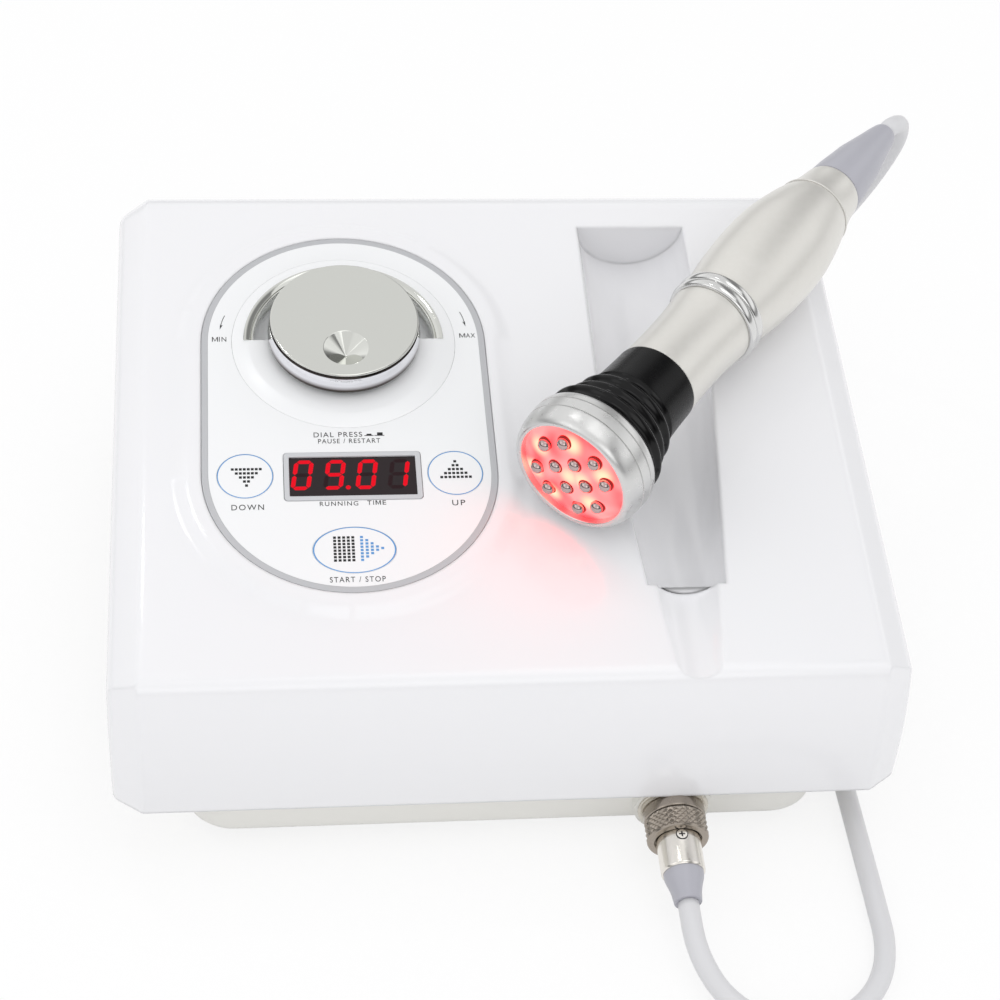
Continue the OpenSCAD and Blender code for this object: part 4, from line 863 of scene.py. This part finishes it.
PIN_R, PIN_TIP = 2.55, -2.3
crown = [(PIN_R * sin(radians(a)), PIN_TIP + PIN_R * (1 - cos(radians(a)))) for a in range(0, 91, 10)]
bm = at_pins(crown + [(PIN_R, 1.2), (1.75, 1.7), (1.75, 7.4), (1.0, 7.4), (1.0, 9.4), (0, 9.4)])
piece("contact_pins", bm, pin_steel_painted_rose, "handpiece", HAND, "electrode_pins", 50)
bm = at_pins([(2.5, -0.35), (2.85, -0.32), (2.98, -0.1), (2.98, 0.8), (2.5, 0.8)], outer_drop=0.85)
piece("pin_collars", bm, acrylic_dark, "handpiece", HAND, (), 50)


def curve_through(keys, count):
    """Smooth profile through (height, radius) pairs, as (radius, height)."""
    return [(q.y, q.x) for q in smooth_line([(*key, 0) for key in keys], count=count)]


# Bellows: ridges a fixed pitch apart on a neck that narrows towards the grip
RIDGE_AT, RIDGE_PITCH, RIDGE_H = 28.8, 6.2, 1.0
NECK = [(FOLDS_AT, 24.6), (22.6, 23.5), (28.8, 20.9), (35.0, 19.45), (SLEEVE_AT - SEAM, 18.0)]
folds = [(r + RIDGE_H * cos(2 * pi * (q - RIDGE_AT) / RIDGE_PITCH), q) for r, q in curve_through(NECK, 14)]
hand_piece("neck_bellows", [(22.6, FOLDS_AT - 0.9), (22.6, FOLDS_AT)] + folds
           + [(12.0, SLEEVE_AT - SEAM), (12.0, 38.6), (19.2, 18.0), (19.2, FOLDS_AT - 0.9)], rubber,
           ("head_ring", "bellows"))
hand_piece("grip_collar", [(12.0, SLEEVE_AT), (17.5, SLEEVE_AT), (17.9, 40.4), (18.0, 41.0), (17.75, 43.0),
                           (17.4, 48.0), (17.15, 53.0), (17.0, 57.6), (16.85, 58.4), (16.6, GRIP_AT - SEAM),
                           (12.0, GRIP_AT - SEAM)], sleeve_black, ("bellows", "neck_sleeve"))
hand_piece("front_grip", [(12.0, GRIP_AT), (16.3, GRIP_AT), (16.6, 59.1), (16.62, 60.0), (16.4, 66.0),
                          (16.25, 72.0), (16.25, 80.0), (16.4, 86.0), (16.75, 91.0), (17.2, 95.5),
                          (17.45, 97.9), (17.3, BEADS_AT - SEAM), (14.3, BEADS_AT - SEAM), (14.3, 72.0),
                          (12.0, 72.0)], lacquer, ("neck_sleeve", "front_barrel"))
BEAD_R, BEAD_HALF, BEAD_H = 17.9, 2.15, 1.15
beads = [(14.3, BEADS_AT), (17.6, BEADS_AT)]
for k in (0, 1):
    middle = BEADS_AT + 0.1 + BEAD_HALF + k * (2 * BEAD_HALF + 0.15)
    beads += [(BEAD_R + BEAD_H * sin(radians(a)), middle - BEAD_HALF * cos(radians(a)))
              for a in range(0, 181, 15)]
hand_piece("bead_band", beads + [(17.7, REAR_AT - SEAM), (14.3, REAR_AT - SEAM)], satin_chrome,
           ("front_barrel", "bead_ring"), 70)
BARREL = [(REAR_AT, 17.85), (113, 18.65), (118, 19.3), (123, 19.9), (133, 20.62), (145, 20.9), (155, 20.5),
          (163, 19.4), (171, 17.85), (176, 16.6), (CAP_AT - SEAM, 15.6)]
hand_piece("rear_grip", curve_through(BARREL, 5) + [(12.5, CAP_AT - SEAM), (12.5, 176.0), (18.0, 150.0),
                                                    (16.4, REAR_AT)],
           lacquer, ("bead_ring", "rear_barrel"))
hand_piece("end_cap", [(6.0, CAP_AT), (15.5, CAP_AT), (15.85, 179.8), (15.95, 180.2), (15.7, 180.7),
                       (15.35, 181.2), (14.35, 185.0), (13.5, 189.0), (12.95, 193.0), (12.65, 195.4),
                       (12.3, 196.4), (11.7, BOOT_AT - SEAM), (6.0, BOOT_AT - SEAM)],
           lacquer, ("rear_barrel", "tail_cap"))
hand_piece("cable_sleeve", [(0, 190), (5.8, 190), (5.8, BOOT_AT), (11.6, BOOT_AT), (12.1, 197.1),
                            (12.2, 198.0), (12.0, 200.5), (11.75, 204.2), (11.4, 207.0), (10.75, 212.0),
                            (10.1, 218.0), (8.9, 224.0), (7.5, 231.0), (6.2, 238.0), (5.3, 242.2),
                            (4.9, 243.0), (0, 243.0)],
           vinyl, ("tail_cap", "cable_boot"))


# ---------------------------------------------------------------- back panel
for name, node, material, finish in (("inlet_block", "mains_inlet", black_abs, "black_plastic"),
                                     ("inlet_fixings", "inlet_screws", steel, "steel"),
                                     ("switch_surround", "switch_frame", black_abs, "black_plastic"),
                                     ("feet", "rubber_feet", rubber, "rubber_dark")):
    piece(name, cad_copy(node), material, "console", None, node, sharp=35, weld=False)
piece("switch_rocker", cad_copy("power_rocker"), black_abs, "power_switch", None, "power_rocker",
      sharp=20, weld=False)


# ---------------------------------------------------------------- materials of the CAD nodes
NODES = (
    (abs_white, "top_shell"),
    (abs_grey, "base_tray led_board"),
    (film, "control_overlay dial_surround down_key up_key start_stop_key"),
    (bezel_grey, "display_bezel"),
    (filter_red, "display_window"),
    (black_abs, "display_module tact_switches wire_loom mains_inlet switch_frame power_rocker socket_insert"),
    (board, "control_board main_board handpiece_board"),
    (steel, "housing_screws inlet_screws encoder_body dial_plunger dial_shaft"),
    (chrome, "pocket_liner dial_knob"),
    (varnish, "transformer"),
    (aluminium, "output_stage head_block"),
    (nickel, "socket_body socket_nut coupling_ring"),
    (bright_nickel, "plug_body plug_screw"),
    (vinyl, "plug_clamp cable_boot"),
    (head_silver, "head_ring"),
    (acrylic, "head_lens"),
    (pin_steel_painted_rose, "electrode_pins"),
    (rubber, "rubber_feet bellows"),
    (sleeve_black, "neck_sleeve"),
    (satin_chrome, "bead_ring"),
    (lacquer, "front_barrel rear_barrel tail_cap"),
    (jacket, "cord_front cord_coil cord_rear"),
    (hook_loop, "cord_tie"),
)
for material, nodes in NODES:
    for node in nodes.split():
        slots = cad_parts[node].data.materials
        slots.clear()
        slots.append(material)


# ---------------------------------------------------------------- floor, light and world
# The floor looks white, but throws less light up at the housing than white would
WHITE, BOUNCE, GLOW_SHARE, FLOOR_HALF = "FFFFFF", "E6E6E6", 0.8, 6.0
pale_floor, t, b = surface("pale_floor", WHITE, Roughness=0.8)
path = add(t, "LightPath")
seen = add(t, "Math", [(0, path, "Is Camera Ray"), (1, path, "Is Glossy Ray")], operation="MAXIMUM")
seen = add(t, "Math", [(0, seen, 0), (1, path, "Is Transmission Ray")], operation="MAXIMUM")
share = add(t, "Math", [(0, seen, 0)], operation="MULTIPLY", in_1=GLOW_SHARE)
white = add(t, "Emission", in_Strength=1.0)
tone = add(t, "MixRGB", [("Fac", seen, 0)], in_Color1=linear(BOUNCE), in_Color2=linear(WHITE))
t.links.new(tone.outputs["Color"], b.inputs["Base Color"])
mix = add(t, "MixShader", [(0, share, 0), (1, b, "BSDF"), (2, white, "Emission")])
t.links.new(mix.outputs[0], t.nodes["Material Output"].inputs["Surface"])

bm = bmesh.new()
bmesh.ops.create_grid(bm, x_segments=1, y_segments=1, size=FLOOR_HALF)
bmesh.ops.translate(bm, verts=bm.verts, vec=(0, 0, FLOOR_Z * MM))
me = bpy.data.meshes.new("floor")
bm.to_mesh(me)
bm.free()
me.materials.append(pale_floor)
floor = bpy.data.objects.new("floor", me)
scene.collection.objects.link(floor)

world = bpy.data.worlds.new("studio")
scene.world = world
world.use_nodes = True
t = world.node_tree
background = t.nodes["Background"]
at = add(t, "TexCoord")
ray = add(t, "SeparateXYZ", [("Vector", at, "Generated")])
sky = ramp(t, ray, "Z", [(0.0, (1.0, 1.0, 1.01, 1)), (0.75, (0.82, 0.82, 0.825, 1))])


# What polished metal sees: a dark band above the horizon between the pale floor and the pale ceiling
BANDS = greys([(0.0, 0.75), (0.06, 0.3), (0.2, 0.34), (0.34, 1.0), (0.6, 0.88), (1.0, 0.85)])
# Dark panels at the left and the right of the studio, seen in the dimple and along the barrel
PANELS = greys([(0.0, 0.35), (0.13, 1.1), (0.3, 1.1), (0.36, 1.0), (0.6, 1.0), (0.68, 0.3), (0.8, 0.35),
                (0.86, 1.15)])
bands = ramp(t, ray, "Z", BANDS)
across = add(t, "MapRange", [("Value", ray, "X")], in_From_Min=-1.0, in_From_Max=1.0)
panels = ramp(t, across, "Result", PANELS)
mirror = add(t, "MixRGB", [("Color1", bands, "Color"), ("Color2", panels, "Color")], blend_type="MULTIPLY",
             in_Fac=1.0)
path = add(t, "LightPath")
lit_by = add(t, "MixRGB", [("Fac", path, "Is Glossy Ray"), ("Color1", sky, "Color"),
                           ("Color2", mirror, "Color")])
shown = add(t, "MixRGB", [("Fac", path, "Is Camera Ray"), ("Color1", lit_by, "Color")],
            in_Color2=(1, 1, 1, 1))
t.links.new(shown.outputs["Color"], background.inputs["Color"])
background.inputs["Strength"].default_value = 1.0


def lamp(name, at, size, watts, aim=(0, 0, 0.05)):
    """Square area lamp that points at the object; metres and watts."""
    data = bpy.data.lights.new(name, "AREA")
    data.shape, data.size, data.energy = "SQUARE", size, watts
    o = bpy.data.objects.new(name, data)
    scene.collection.objects.link(o)
    o.location = at
    o.rotation_euler = (Vector(aim) - Vector(at)).to_track_quat("-Z", "Y").to_euler()


lamp("top", (0.4, -0.2, 1.75), 1.2, 3.2)
lamp("front", (0.1, -1.5, 0.95), 0.8, 1.4)
lamp("side", (-1.2, -0.3, 0.9), 0.8, 1.2)
lamp("glint", (-0.35, 0.5, 1.3), 0.1, 0.4, aim=(0.05, 0, 0.1))

scene.view_settings.view_transform = "Standard"
